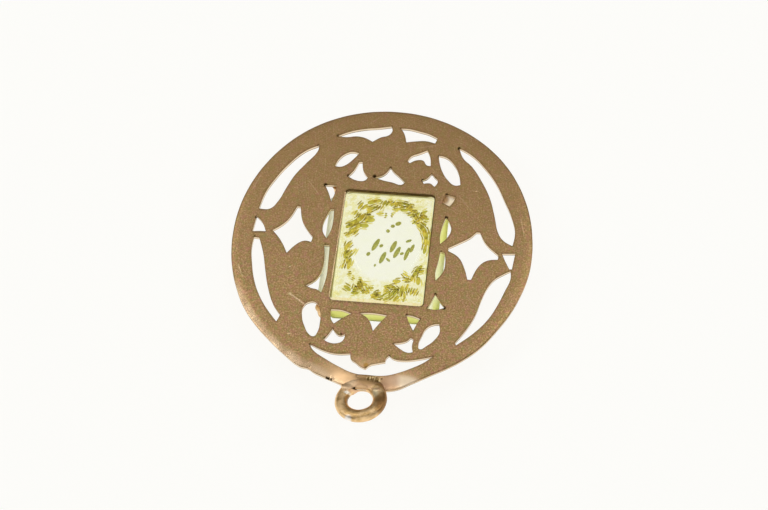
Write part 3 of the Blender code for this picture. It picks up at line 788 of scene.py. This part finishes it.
def make_sheet():
    """The pierced sheet. Its rim is given back, for the solder."""
    loops = sorted(top_outlines("pierced_plate"), key=lambda loop: -abs(signed_area(loop)))
    loops[0] = lug_line(loops[0])
    loops = [smooth_outline(loop) for loop in loops]
    loops[1] = leaning_window(loops[1])
    roundings = [RIM_ROUNDING, WINDOW_ROUNDING] + [EDGE_ROUNDING] * (len(loops) - 2)
    normals = [left_normals(loop) for loop in loops]
    sizes = [safe_rounding(*three) for three in zip(loops, normals, roundings)]
    insets = [loop + normal * size[:, None] for loop, normal, size in zip(loops, normals, sizes)]
    edges, count = [], 0
    for loop in insets:
        edges += ring_of(list(range(count, count + len(loop))))
        count += len(loop)
    flat, triangles, sources = triangulate(np.vstack(insets + [face_points(insets)]), edges)
    centres = np.array([flat[list(t)].mean(0) for t in triangles])
    triangles = [t for t, kept in zip(triangles, inside(centres, insets)) if kept]
    index_of = {old: made for made, origin in enumerate(sources) for old in origin}

    bottom = len(flat)
    worn_and_lit = sheet_wear_and_light(flat)
    # Painted shade along the edges of every opening
    bordering = [index_of[i] for i in range(len(loops[0]), count)]
    worn_and_lit[bordering, 0] = np.maximum(worn_and_lit[bordering, 0], EDGE_SHADE)
    points = [np.column_stack([flat, sheet_warp(flat) + sheet_marks(flat)]),
              np.column_stack([flat, sheet_warp(flat) - SHEET_THICKNESS])]
    wear_and_light = [worn_and_lit, np.zeros((bottom, 2))]
    faces, kinds = [], []
    for a, b, c in triangles:
        faces += [(a, b, c), (bottom + c, bottom + b, bottom + a)]
        kinds += [BACK, FRONT]

    total, start = 2 * bottom, 0
    for number, (loop, normal, size, place) in enumerate(zip(loops, normals, sizes, insets)):
        n = len(loop)
        warp, marks, worn_and_lit = sheet_warp(place), sheet_marks(place), sheet_wear_and_light(place)
        # The window's edges get painted shade and a painted highlight, the other openings' edges
        # painted shade
        if number == 1:
            worn_and_lit = np.maximum(worn_and_lit, window_light(loop))
        elif number > 1:
            worn_and_lit[:, 0] = np.maximum(worn_and_lit[:, 0], EDGE_SHADE)
        top = [index_of[start + i] for i in range(n)]
        rows = [top]
        for angle, down in EDGE_PROFILE:
            turn = math.radians(angle)
            out, drop = size * (1 - math.sin(turn)), size * (1 - math.cos(turn))
            if down is None:
                height, worn_and_lit = warp - (SHEET_THICKNESS - drop), np.zeros((n, 2))
            else:
                drop = drop + down * (SHEET_THICKNESS - 2 * size)
                height = warp - drop + marks * (1 - down)
            points.append(np.column_stack([loop + normal * out[:, None], height]))
            # The wall rows get a painted highlight and painted shade
            wear_and_light.append(wall_light(place, down, number == 1) if down else worn_and_lit)
            rows.append(list(range(total, total + n)))
            total += n
        rows.append([bottom + i for i in top])
        for level, (upper, lower) in enumerate(zip(rows, rows[1:])):
            for (a, b), (c, d) in zip(ring_of(upper), ring_of(lower)):
                faces.append((a, c, d, b))
                kinds.append(BACK if level < 2 else (WALL if level < 6 else FRONT))
        start += n
    add_piece("pierced_sheet", np.vstack(points), faces,
              [worn_back(), sawn_edge(), polished_front()], ["pierced_plate"],
              38.0, kinds, np.vstack(wear_and_light))
    return loops[0]


# ---------------------------------------------------------------- ring and solder

RING_TURN = np.array(Matrix.Rotation(-RING_ROLL, 3, "Y") @ Matrix.Rotation(-RING_TILT, 3, "X"))


def ring_middle():
    low, high = layout_box("bail_ring")
    return (low + high) / 2


def make_ring(material):
    around, across = 190, 64
    points, faces = [], []
    for i in range(around):
        u = math.tau * i / around
        wire = RING_WIRE * (1 - 0.008 * (2 + math.sin(3 * u + 0.6) + math.sin(7 * u)))
        for j in range(across):
            v = math.tau * j / across
            swollen = 0.20 * max(0.0, math.cos(u - 0.5)) ** 2 * max(0.0, -math.cos(v))
            reach = RING_RADIUS + wire * math.cos(v) - swollen
            worn_flat = wire * math.sin(v) * (1 - 0.10 * max(0.0, math.sin(v)) ** 3)
            points.append((reach * math.cos(u), reach * math.sin(u), worn_flat))
            k, l = (i + 1) % around, (j + 1) % across
            faces.append((i * across + j, k * across + j, k * across + l, i * across + l))
    points = np.array(points)
    wobble = np.array([noise.noise(Vector(p) * 1.6) for p in points])
    points *= (1 - 0.004 * (1 + wobble))[:, None]
    points = points @ RING_TURN.T + ring_middle()
    add_piece("soldered_bail_ring", points, faces, [material], ["bail_ring"])


def surface_net(field, low, step):
    """Closed faces on a sampled field's zero level. The field is negative inside."""
    corner = np.array([(i, j, k) for i in (0, 1) for j in (0, 1) for k in (0, 1)])
    cells = np.array(field.shape) - 1
    blocks = [field[i:i + cells[0], j:j + cells[1], k:k + cells[2]] for i, j, k in corner]
    total = np.zeros((*cells, 3))
    hits = np.zeros(cells)
    for a in range(8):
        for b in range(a + 1, 8):
            if np.abs(corner[a] - corner[b]).sum() != 1:
                continue
            crossing = (blocks[a] < 0) != (blocks[b] < 0)
            share = np.where(crossing, blocks[a] / (blocks[a] - blocks[b] + 1e-30), 0)
            spot = corner[a] + share[..., None] * (corner[b] - corner[a])
            total += np.where(crossing[..., None], spot, 0)
            hits += crossing
    used = hits > 0
    index = np.full(tuple(cells), -1)
    index[used] = np.arange(used.sum())
    points = (np.argwhere(used) + total[used] / hits[used][:, None]) * step + low
    faces = []
    for axis in range(3):
        first = np.moveaxis(field, axis, 0)[:-1] < 0
        second = np.moveaxis(field, axis, 0)[1:] < 0
        grid = np.moveaxis(index, axis, 0)
        for way, flip in ((first & ~second, False), (~first & second, True)):
            for i, j, k in np.argwhere(way[:, 1:-1, 1:-1]):
                quad = [grid[i, j, k], grid[i, j + 1, k], grid[i, j + 1, k + 1], grid[i, j, k + 1]]
                if flip != (axis == 1):
                    quad.reverse()
                faces.append(quad)
    return points, faces


def blend(a, b, reach):
    """Two signed distances joined with a soft fillet."""
    h = np.clip(0.5 + 0.5 * (b - a) / reach, 0, 1)
    return b * (1 - h) + a * h - reach * h * (1 - h)


def make_solder(rim, material):
    low, high = np.array(SOLDER_BOX)
    shape = np.ceil((high - low) / SOLDER_GRID).astype(int) + 1
    axes = [low[i] + SOLDER_GRID * np.arange(shape[i]) for i in range(3)]
    x, y, z = np.meshgrid(*axes, indexing="ij")
    across, along = x[:, :, 0], y[:, :, 0]
    flat = np.stack([across.ravel(), along.ravel()], 1)
    near = rim[(rim[:, 1] < -13.0) & (np.abs(rim[:, 0]) < 6)]
    near = near[np.argsort(near[:, 0])]
    away = to_line(flat, near)
    under = flat[:, 1] < np.interp(flat[:, 0], near[:, 0], near[:, 1])
    signed = np.where(under, away, -away).reshape(across.shape)
    warp = sheet_warp(flat).reshape(across.shape)
    # the lower edge of the crescent-shaped opening bounds the solder on the inside
    signed = np.maximum(signed, along + 14.42 - 0.03 * across ** 2)
    slab = np.abs(z - warp[:, :, None] + SHEET_THICKNESS / 2) - SHEET_THICKNESS / 2
    sheet = np.maximum(signed[:, :, None], slab) + 0.02
    local = (np.stack([x, y, z], -1) - ring_middle()) @ RING_TURN
    from_axis = np.hypot(local[..., 0], local[..., 1])
    ring = np.hypot(from_axis - RING_RADIUS, local[..., 2]) - RING_WIRE * 0.95 + 0.03
    over_lug = np.clip((-signed + 0.25) / 0.60, 0, 1)[:, :, None]
    from_ring = np.clip((ring - 0.05) / 0.85, 0, 1)
    sink = over_lug * over_lug * (3 - 2 * over_lug) * (0.14 + 0.08 * from_ring)
    in_eye = np.clip((RING_RADIUS - 0.50 - from_axis) / 0.3, 0, 1)
    reach = np.hypot(x * 0.70, (y + 15.3) * 1.2) - 1.75
    fade = np.clip((reach + 0.5) / 0.5, 0, 1) ** 2
    joined = blend(sheet, ring, SOLDER_BLEND) + sink + 0.25 * (in_eye + fade)
    grain = 0.006 * (np.sin(9 * x + 3 * np.sin(5 * y)) * np.sin(8 * y + 2 * np.sin(7 * z)))
    points, faces = surface_net(np.maximum(joined + grain, reach), low, SOLDER_GRID)
    add_piece("ring_solder_fillet", points, faces, [material], ["ring_solder"],
              60.0)


# ---------------------------------------------------------------- claws

def tube(route, radii, sides=36):
    """A closed wire along a route, with its ends closed by a flat face."""
    route = [np.array(p, float) for p in route]
    first = route[1] - route[0]
    steep = abs(first[2]) > 0.9 * np.linalg.norm(first)
    across = np.array([1.0, 0.0, 0.0] if steep else [0.0, 0.0, 1.0])
    points, faces = [], []
    for i, (p, r) in enumerate(zip(route, radii)):
        ahead = route[min(i + 1, len(route) - 1)] - route[max(i - 1, 0)]
        ahead /= np.linalg.norm(ahead)
        across = across - ahead * (across @ ahead)
        across /= np.linalg.norm(across)
        up = np.cross(ahead, across)
        for j in range(sides):
            turn = math.tau * j / sides
            points.append(p + r * (math.cos(turn) * across + math.sin(turn) * up))
    rows = [list(range(i * sides, (i + 1) * sides)) for i in range(len(route))]
    for upper, lower in zip(rows, rows[1:]):
        faces += [(a, b, d, c) for (a, b), (c, d) in zip(ring_of(upper), ring_of(lower))]
    return points, faces + [tuple(reversed(rows[0])), tuple(rows[-1])]


def make_claw(name, side_x, side_y, middle, half, foot, material):
    diagonal = math.sqrt(0.5)
    stand_off = CLAW_STAND_OFF * diagonal - STONE_CORNER_CUT / 2
    post = middle + np.array([side_x, side_y]) * (half + stand_off)
    low = CLAW_POST_END - CLAW_BEND
    path = []                   # how far inward, z and how thick
    for share in np.linspace(0, 1, 24):
        spread = (foot - 1.0) * bell(np.array(share / 0.22)) ** 0.5
        path.append((0.0, CLAW_TOP + share * (CLAW_POST_END - CLAW_TOP), 1.0 + float(spread)))
    path += [(CLAW_BEND * (1 - math.cos(turn)), CLAW_POST_END - CLAW_BEND * math.sin(turn),
              1.0 - 0.06 * turn) for turn in np.linspace(0, math.pi / 2, 16)[1:]]
    path += [(CLAW_BEND + CLAW_TIP * 0.55 * share, low, 0.906 - 0.10 * share)
             for share in np.linspace(0, 1, 10)[1:]]
    path += [(CLAW_BEND + CLAW_TIP * (0.55 + 0.45 * math.sin(turn)), low,
              max(0.02, 0.806 * math.cos(turn))) for turn in np.linspace(0, math.pi / 2, 9)[1:]]
    route = [(post[0] - side_x * inward * diagonal, post[1] - side_y * inward * diagonal, z)
             for inward, z, _ in path]
    points, faces = tube(route, [CLAW_RADIUS * thick for _, _, thick in path])
    if foot == WIDE_FOOT:
        x, y, radius = SOLDER_BLOB
        more, more_faces = tube([(x, y, z) for z, _ in BLOB_PROFILE],
                                [radius * share for _, share in BLOB_PROFILE])
        faces += [tuple(i + len(points) for i in face) for face in more_faces]
        points += more
    add_piece(name + "_wire", points, faces, [material], [name], 50.0)


# ---------------------------------------------------------------- stone

# Leaves cut in the stone's front: middle x, y, direction in degrees, length, width. They are
# given as they look from the back, and CARVING_SHIFT takes them to their place on the front.
CARVING_SHIFT = np.array([-0.19, 0.77])
LEAVES = {
    "upper_left_spray": [
        (-3.45, 0.62, 45, 0.6, 0.2), (-3.0, 1.05, 48, 1.2, 0.38), (-2.6, 0.95, 55, 0.8, 0.22),
        (-2.45, 1.6, 42, 0.9, 0.32), (-3.4, 1.6, 38, 0.8, 0.3), (-3.05, 1.95, 42, 1.1, 0.38),
        (-2.45, 2.45, 45, 1.2, 0.42), (-2.15, 2.75, 60, 0.8, 0.3), (-2.9, 3.15, 62, 0.7, 0.18),
        (-2.5, 3.95, 60, 0.95, 0.24), (-2.05, 3.85, 50, 0.8, 0.26), (-1.85, 1.72, 0, 0.9, 0.36),
        (-1.4, 2.4, 4, 1.1, 0.4), (-1.35, 2.75, 12, 0.8, 0.22), (-1.72, 3.0, 78, 0.5, 0.14)],
    "top_left_spray": [
        (-1.35, 4.48, 20, 1.0, 0.36), (-0.85, 4.62, 12, 0.9, 0.32), (-1.4, 3.68, 28, 1.0, 0.3),
        (-1.5, 3.3, 20, 0.7, 0.2), (-0.95, 3.9, 50, 0.7, 0.16), (-0.62, 3.85, 55, 0.75, 0.15),
        (-0.28, 3.95, 60, 0.65, 0.14), (-0.42, 3.2, 8, 0.85, 0.2), (0.2, 3.02, -10, 0.3, 0.18),
        (0.85, 3.2, -35, 0.35, 0.16)],
    "top_right_spray": [
        (-0.1, 4.45, 62, 0.7, 0.24), (0.22, 4.4, 62, 0.75, 0.2), (0.48, 4.62, 25, 0.6, 0.2),
        (0.78, 4.38, 52, 0.7, 0.24), (1.15, 4.42, 65, 0.6, 0.28), (1.62, 4.55, -5, 1.0, 0.24),
        (2.12, 4.48, -16, 0.8, 0.22), (1.7, 4.22, -10, 0.8, 0.18), (2.48, 4.3, -25, 0.7, 0.22),
        (1.2, 3.82, 10, 0.9, 0.26), (2.0, 3.78, 2, 0.9, 0.26), (2.5, 4.0, -10, 0.8, 0.2),
        (2.82, 3.74, -22, 0.8, 0.2), (2.72, 3.3, 12, 0.8, 0.18), (3.1, 3.1, -58, 0.8, 0.2),
        (3.4, 3.3, 70, 0.8, 0.2), (3.15, 3.62, 22, 0.6, 0.16), (3.7, 2.92, 60, 0.9, 0.22),
        (3.42, 2.62, 42, 0.7, 0.2), (3.9, 3.2, -35, 0.7, 0.2), (4.0, 3.7, 30, 0.8, 0.2),
        (4.25, 3.0, -12, 0.7, 0.24), (3.1, 2.45, 48, 0.5, 0.16)],
    "right_spray": [
        (3.75, 2.12, -32, 0.9, 0.34), (4.12, 1.78, -50, 1.0, 0.38), (4.38, 1.22, -68, 1.1, 0.4),
        (4.52, 0.45, -82, 1.1, 0.34), (4.5, -0.45, -96, 1.0, 0.26), (4.1, 2.4, -25, 0.7, 0.2)],
    "left_spray": [
        (-3.35, -0.75, 70, 0.9, 0.3), (-3.05, -0.5, 50, 0.7, 0.2), (-3.35, -1.6, 86, 1.0, 0.36),
        (-2.98, -1.4, 60, 0.8, 0.2), (-2.6, -1.4, 58, 1.1, 0.13), (-2.88, -2.6, 84, 1.3, 0.3),
        (-3.15, -2.2, 100, 0.8, 0.24), (-3.5, -2.9, 80, 0.7, 0.17), (-2.75, -3.72, 18, 0.5, 0.16)],
    "lower_left_spray": [
        (-1.55, -4.3, -10, 0.5, 0.16), (-1.35, -4.74, -5, 1.1, 0.3), (-1.6, -4.98, -58, 0.8, 0.3),
        (-2.0, -5.35, 74, 0.8, 0.3), (-1.95, -5.75, 2, 0.8, 0.28), (-1.4, -5.35, -48, 0.8, 0.2),
        (-1.0, -5.62, 30, 0.7, 0.17), (-0.75, -5.3, -58, 0.9, 0.2), (-0.42, -5.1, 6, 0.6, 0.2),
        (-2.75, -5.3, -35, 0.9, 0.3), (-2.3, -4.15, -25, 0.4, 0.14)],
    "bottom_spray": [
        (0.0, -5.75, 25, 0.9, 0.25), (0.38, -5.58, 15, 0.6, 0.2), (0.1, -6.05, 5, 0.9, 0.2),
        (0.72, -5.92, 30, 0.7, 0.17), (1.25, -6.15, 28, 0.8, 0.2), (1.2, -5.5, 35, 0.9, 0.2),
        (1.7, -5.6, 55, 1.0, 0.25), (2.12, -5.32, 60, 1.0, 0.25), (2.2, -6.05, 50, 0.8, 0.26),
        (1.4, -4.8, 3, 1.2, 0.28), (2.0, -4.95, -28, 0.9, 0.22), (2.65, -5.2, 85, 1.3, 0.28),
        (3.0, -5.65, 100, 0.8, 0.2), (2.95, -6.15, 80, 0.4, 0.2), (1.15, -5.1, -30, 0.6, 0.16)],
    "lower_right_spray": [
        (2.05, -4.15, 3, 0.85, 0.3), (2.88, -3.4, -28, 0.75, 0.18), (3.0, -3.95, 12, 0.9, 0.16),
        (3.55, -3.7, 76, 0.8, 0.26), (3.78, -3.2, 68, 0.9, 0.28), (4.1, -2.62, 50, 1.0, 0.3),
        (4.35, -2.9, 22, 0.7, 0.25), (4.2, -3.95, 92, 0.9, 0.34), (3.15, -4.75, 80, 0.9, 0.18),
        (3.6, -5.15, 82, 0.9, 0.16), (4.05, -5.2, 68, 1.0, 0.16)],
    "middle_sprig": [
        (-0.47, -0.32, 66, 1.4, 0.26), (0.1, -0.4, 40, 0.4, 0.18), (-1.1, -1.4, 55, 0.45, 0.2),
        (0.38, -1.7, 70, 1.3, 0.26), (0.95, -1.9, -40, 0.5, 0.14), (1.32, -0.4, 70, 1.3, 0.26),
        (1.75, -1.0, 67, 1.3, 0.25), (2.25, -1.1, 20, 0.4, 0.16), (2.75, -1.1, 76, 1.4, 0.22),
        (3.22, -0.45, 72, 0.9, 0.2), (2.8, 0.35, 25, 0.6, 0.16), (1.55, 2.2, 28, 0.6, 0.24),
        (1.02, 1.88, 15, 0.4, 0.2), (0.6, 1.3, 40, 0.35, 0.22), (-0.3, -2.6, 70, 0.3, 0.12)],
}
FIELD_MIDDLE = np.array([0.6, -0.2])    # the plain oval inside the wreath
FIELD_HALF = np.array([3.55, 4.05])
FIELD_DEPTH = 0.05


def rotated(along, across, turn):
    """A step along and across a direction, as layout x and y."""
    return np.array([along * math.cos(turn) - across * math.sin(turn),
                     along * math.sin(turn) + across * math.cos(turn)])


def all_leaves():
    """The cut leaves, and thin strokes beside the wreath's that are painted highlights and painted
    shade: middle, turn, length, width and which gilding they have."""
    chance = random.Random(7)
    for spray, leaves in LEAVES.items():
        for x, y, angle, length, width in leaves:
            middle, turn = np.array([x, y]) + CARVING_SHIFT, math.radians(angle)
            if spray == "middle_sprig":
                yield middle, turn, 1.08 * length, 1.3 * width * LEAF_WIDTH, 3
                continue
            yield middle, turn, length, width * LEAF_WIDTH, 0
            for side in (-1, 1):
                across = side * (0.75 * width + 0.10)
                along = chance.uniform(-0.3, 0.3) * length
                near = middle + rotated(along, across, turn)
                # gilding 1 is a painted highlight stroke, 2 a painted shade stroke
                yield (near, turn + chance.uniform(-0.25, 0.25), length * chance.uniform(0.6, 0.95),
                       0.12 + 0.06 * chance.random(), chance.choice((1, 2)))


def carving(xy):
    """How deep the stone's front is cut at each point."""
    depth = np.zeros(len(xy))
    for middle, turn, length, width, _ in all_leaves():
        near = np.nonzero(np.linalg.norm(xy - middle, axis=1) < length)[0]
        x, y = (xy[near] - middle).T
        along = x * math.cos(turn) + y * math.sin(turn)
        across = -x * math.sin(turn) + y * math.cos(turn)
        u = np.clip(along / (length / 2), -1, 1)
        half = width / 2 * np.sqrt(np.clip(1 - u * u, 0, 1)) + 1e-6
        v = np.clip(np.abs(across) / half, 0, 1)
        cut = CARVING_DEPTH * min(1.0, width / 0.35) * (1 - v * v) * (1 - u ** 4)
        cut[np.abs(along) > length / 2] = 0
        depth[near] = np.maximum(depth[near], cut)
    radius = np.linalg.norm((xy - FIELD_MIDDLE - CARVING_SHIFT) / FIELD_HALF, axis=1)
    dish = FIELD_DEPTH * np.clip((1.0 - radius) / 0.05, 0, 1)
    return np.maximum(depth, dish) + 0.35 * np.minimum(depth, dish)


def octagon(half, cut):
    (x, y), (near_x, near_y) = half, np.array(half) - cut
    return [(x, near_y), (near_x, y), (-near_x, y), (-x, near_y),
            (-x, -near_y), (-near_x, -y), (near_x, -y), (x, -near_y)]


def make_stone(middle, half, material):
    back, girdle_top, girdle_low, front = STONE_LEVELS
    cut = STONE_CORNER_CUT
    levels = [(STONE_TABLE, cut * 0.4, back), (half, cut, girdle_top), (half, cut, girdle_low),
              (half - STONE_CROWN_RUN, cut * 0.85, front)]
    bm = bmesh.new()
    rings = [[bm.verts.new((middle[0] + x, middle[1] + y, z)) for x, y in octagon(size, cut)]
             for size, cut, z in levels]
    bm.faces.new(rings[0])
    bm.faces.new(reversed(rings[-1]))
    for upper, lower in zip(rings, rings[1:]):
        for (a, b), (c, d) in zip(ring_of(upper), ring_of(lower)):
            bm.faces.new((b, a, c, d))
    bmesh.ops.recalc_face_normals(bm, faces=bm.faces)
    bmesh.ops.bevel(bm, geom=bm.edges[:], offset=STONE_BEVEL, segments=3, profile=0.5,
                    affect="EDGES", clamp_overlap=True)
    table, back_table = (max((f for f in bm.faces if way * f.normal.z > 0.99),
                             key=lambda f: f.calc_area()) for way in (-1, 1))
    rim = [v.co.copy() for v in table.verts]
    bm.faces.remove(table)
    bmesh.ops.triangulate(bm, faces=[back_table])
    bm.verts.index_update()
    points = [tuple(v.co) for v in bm.verts]
    faces = [tuple(v.index for v in f.verts) for f in bm.faces]
    lookup = {tuple(round(c, 5) for c in p): i for i, p in enumerate(points)}
    bm.free()

    rim_xy = np.array([(p.x, p.y) for p in rim])
    if signed_area(rim_xy) < 0:
        rim, rim_xy = rim[::-1], rim_xy[::-1]
    xs, ys = (np.arange(a, b, CARVING_GRID) for a, b in zip(rim_xy.min(0), rim_xy.max(0)))
    grid = np.array([(x, y) for y in ys for x in xs])
    grid = grid[inside(grid, [rim_xy])]
    grid = grid[to_line(grid, np.vstack([rim_xy, rim_xy[:1]])) > 0.6 * CARVING_GRID]
    flat, triangles, sources = triangulate(np.vstack([rim_xy, grid]),
                                           ring_of(list(range(len(rim)))))
    heights = front + np.where(inside(flat, [rim_xy]), carving(flat), 0)
    place = []
    for xy, z, origin in zip(flat, heights, sources):
        old = [o for o in origin if o < len(rim)]
        if old:
            place.append(lookup[tuple(round(c, 5) for c in rim[old[0]])])
        else:
            place.append(len(points))
            points.append((xy[0], xy[1], z))
    faces += [(place[c], place[b], place[a]) for a, b, c in triangles]
    stone = add_piece("carved_glass_stone", points, faces, [material],
                      ["glass_stone"], 28.0)
    for polygon in stone.data.polygons:
        if polygon.area > FACET_AREA * MM * MM:
            polygon.use_smooth = False


def make_gilding(front, materials):
    """A thin skin of gold in each cut leaf."""
    rows, columns = 15, 6
    wide = 2 * columns + 1
    count = (rows + 1) * wide
    index = np.arange(count).reshape(rows + 1, wide)
    border = np.concatenate([index[0], index[1:, -1], index[-1, -2::-1], index[-2:0:-1, 0]])
    thick = np.full((rows + 1, wide), GILDING)
    thick[0, :] = thick[-1, :] = thick[:, 0] = thick[:, -1] = GILDING * 0.4
    thick = thick.ravel()
    points, faces, kinds = [], [], []
    for number, (middle, turn, length, width, kind) in enumerate(all_leaves()):
        start = len(points)
        flat = []
        for i in range(rows + 1):
            u = math.sin(math.pi * (i / rows - 0.5)) * 0.985
            half = 0.97 * width / 2 * math.sqrt(max(0.0, 1 - u * u))
            for j in range(-columns, columns + 1):
                flat.append(middle + rotated(u * length / 2, j / columns * half, turn))
        flat = np.array(flat)
        middle_z = front + carving(flat) + 0.0007 * (number % 9) + (0.006 if kind == 1 else 0.0)
        for z in (middle_z + thick, middle_z - thick):
            points += [tuple(p) for p in np.column_stack([flat, z])]
        for i in range(rows):
            for j in range(wide - 1):
                a, b = start + i * wide + j, start + (i + 1) * wide + j
                faces.append((a, b, b + 1, a + 1))
                faces.append((a + count, a + 1 + count, b + 1 + count, b + count))
        for a, b in ring_of([start + int(i) for i in border]):
            faces.append((a, b, b + count, a + count))
        kinds += [kind] * (len(faces) - len(kinds))
    add_piece("gilded_wreath", points, faces, materials, [], 50.0, kinds)


# ---------------------------------------------------------------- studio

CAMERA_DISTANCE = 180.0
CAMERA_AZIMUTH = math.radians(13.84)
CAMERA_ELEVATION = math.radians(63.59)
CAMERA_ROLL = math.radians(-8.25)   # turned about the line of sight
CAMERA_LENS = 84.86
CAMERA_AIM = (0.486, -1.400, 0.0)


def make_camera():
    data = bpy.data.cameras.new("camera")
    data.lens = CAMERA_LENS
    data.sensor_width = 36.0
    data.clip_start = 0.005
    data.clip_end = 10.0
    camera = add_object("camera", data)
    flat = CAMERA_DISTANCE * math.cos(CAMERA_ELEVATION)
    eye = Vector((math.sin(CAMERA_AZIMUTH) * flat, -math.cos(CAMERA_AZIMUTH) * flat,
                  CAMERA_DISTANCE * math.sin(CAMERA_ELEVATION)))
    level = (eye - Vector(CAMERA_AIM)).to_track_quat("Z", "Y").to_matrix().to_4x4()
    camera.matrix_world = (Matrix.Translation(eye * MM + Vector(ORIGIN)) @ level
                           @ Matrix.Rotation(CAMERA_ROLL, 4, "Z"))
    bpy.context.scene.camera = camera


def make_floor():
    half = 2.0
    mesh = bpy.data.meshes.new("floor")
    mesh.from_pydata([(-half, -half, 0), (half, -half, 0), (half, half, 0), (-half, half, 0)],
                     [], [(0, 1, 2, 3)])
    paint = Paint("pale_floor")
    paint.fill(paint.shader, {
        "Base Color": (0.12, 0.12, 0.12), "Roughness": 1.0, "Specular IOR Level": 0.0,
        "Emission Color": (1.0, 0.995, 0.965), "Emission Strength": 0.90})
    mesh.materials.append(paint.material)
    add_object("floor", mesh)


def add_light(name, direction, distance, size, radiance):
    """A square softbox that faces the pendant, as bright as the radiance says."""
    data = bpy.data.lights.new(name, "AREA")
    data.shape = "SQUARE"
    data.size = size
    data.energy = radiance * math.pi * size * size
    light = add_object(name, data)
    aim = Vector(direction).normalized()
    light.location = aim * distance
    light.rotation_mode = "QUATERNION"
    light.rotation_quaternion = aim.to_track_quat("Z", "Y")


def make_studio():
    world = bpy.data.worlds.new("studio")
    bpy.context.scene.world = world
    world.use_nodes = True
    background = world.node_tree.nodes["Background"]
    background.inputs["Color"].default_value = (1.0, 0.98, 0.94, 1)
    background.inputs["Strength"].default_value = 0.15
    for light in (("overhead", (-0.1, 0.28, 1.0), 0.60, 1.0, 0.44),
                  ("right", (0.85, 0.20, 0.55), 0.70, 0.35, 2.0),
                  ("left", (-0.75, -0.10, 0.60), 0.70, 0.35, 2.0),
                  ("left_strip", (-0.42, 0.37, 0.82), 0.50, 0.12, 2.2),
                  ("right_strip", (0.24, 0.36, 0.90), 0.50, 0.10, 3.4),
                  ("front", (0.15, -0.85, 0.45), 0.70, 0.55, 1.0)):
        add_light(*light)
    bpy.context.scene.view_settings.view_transform = "Standard"


def main():
    rim = make_sheet()
    wire = wire_gold()
    make_ring(wire)
    make_solder(rim, solder_gold())
    low, high = layout_box("glass_stone")
    middle, half = ((low + high) / 2)[:2], ((high - low) / 2)[:2]
    for name, side_x, side_y in (("claw_upper_left", -1, 1), ("claw_upper_right", 1, 1),
                                 ("claw_lower_left", -1, -1), ("claw_lower_right", 1, -1)):
        foot = WIDE_FOOT if name == "claw_upper_right" else PLAIN_FOOT
        make_claw(name, side_x, side_y, middle, half, foot, wire)
    make_stone(middle, half, stone_glass(middle, half))
    make_gilding(STONE_LEVELS[3], [
        gilding("gilded_leaves", (0.66, 0.62, 0.08), (1.0, 0.84, 0.16), (0.54, 0.51, 0.06), 0.15),
        # Painted highlight strokes and painted shade strokes beside the wreath's leaves
        gilding("painted_highlight_gilding", (0.96, 0.90, 0.42), (0.98, 0.86, 0.26), (0.84, 0.78, 0.22), 0.1),
        gilding("painted_shade_gilding", (0.60, 0.50, 0.05), (0.68, 0.56, 0.06), (0.44, 0.38, 0.04), 0.2),
        gilding("olive_gilding", (0.50, 0.52, 0.13), (0.60, 0.56, 0.13), (0.32, 0.34, 0.06), 0.2)])
    make_floor()
    make_studio()
    make_camera()


main()
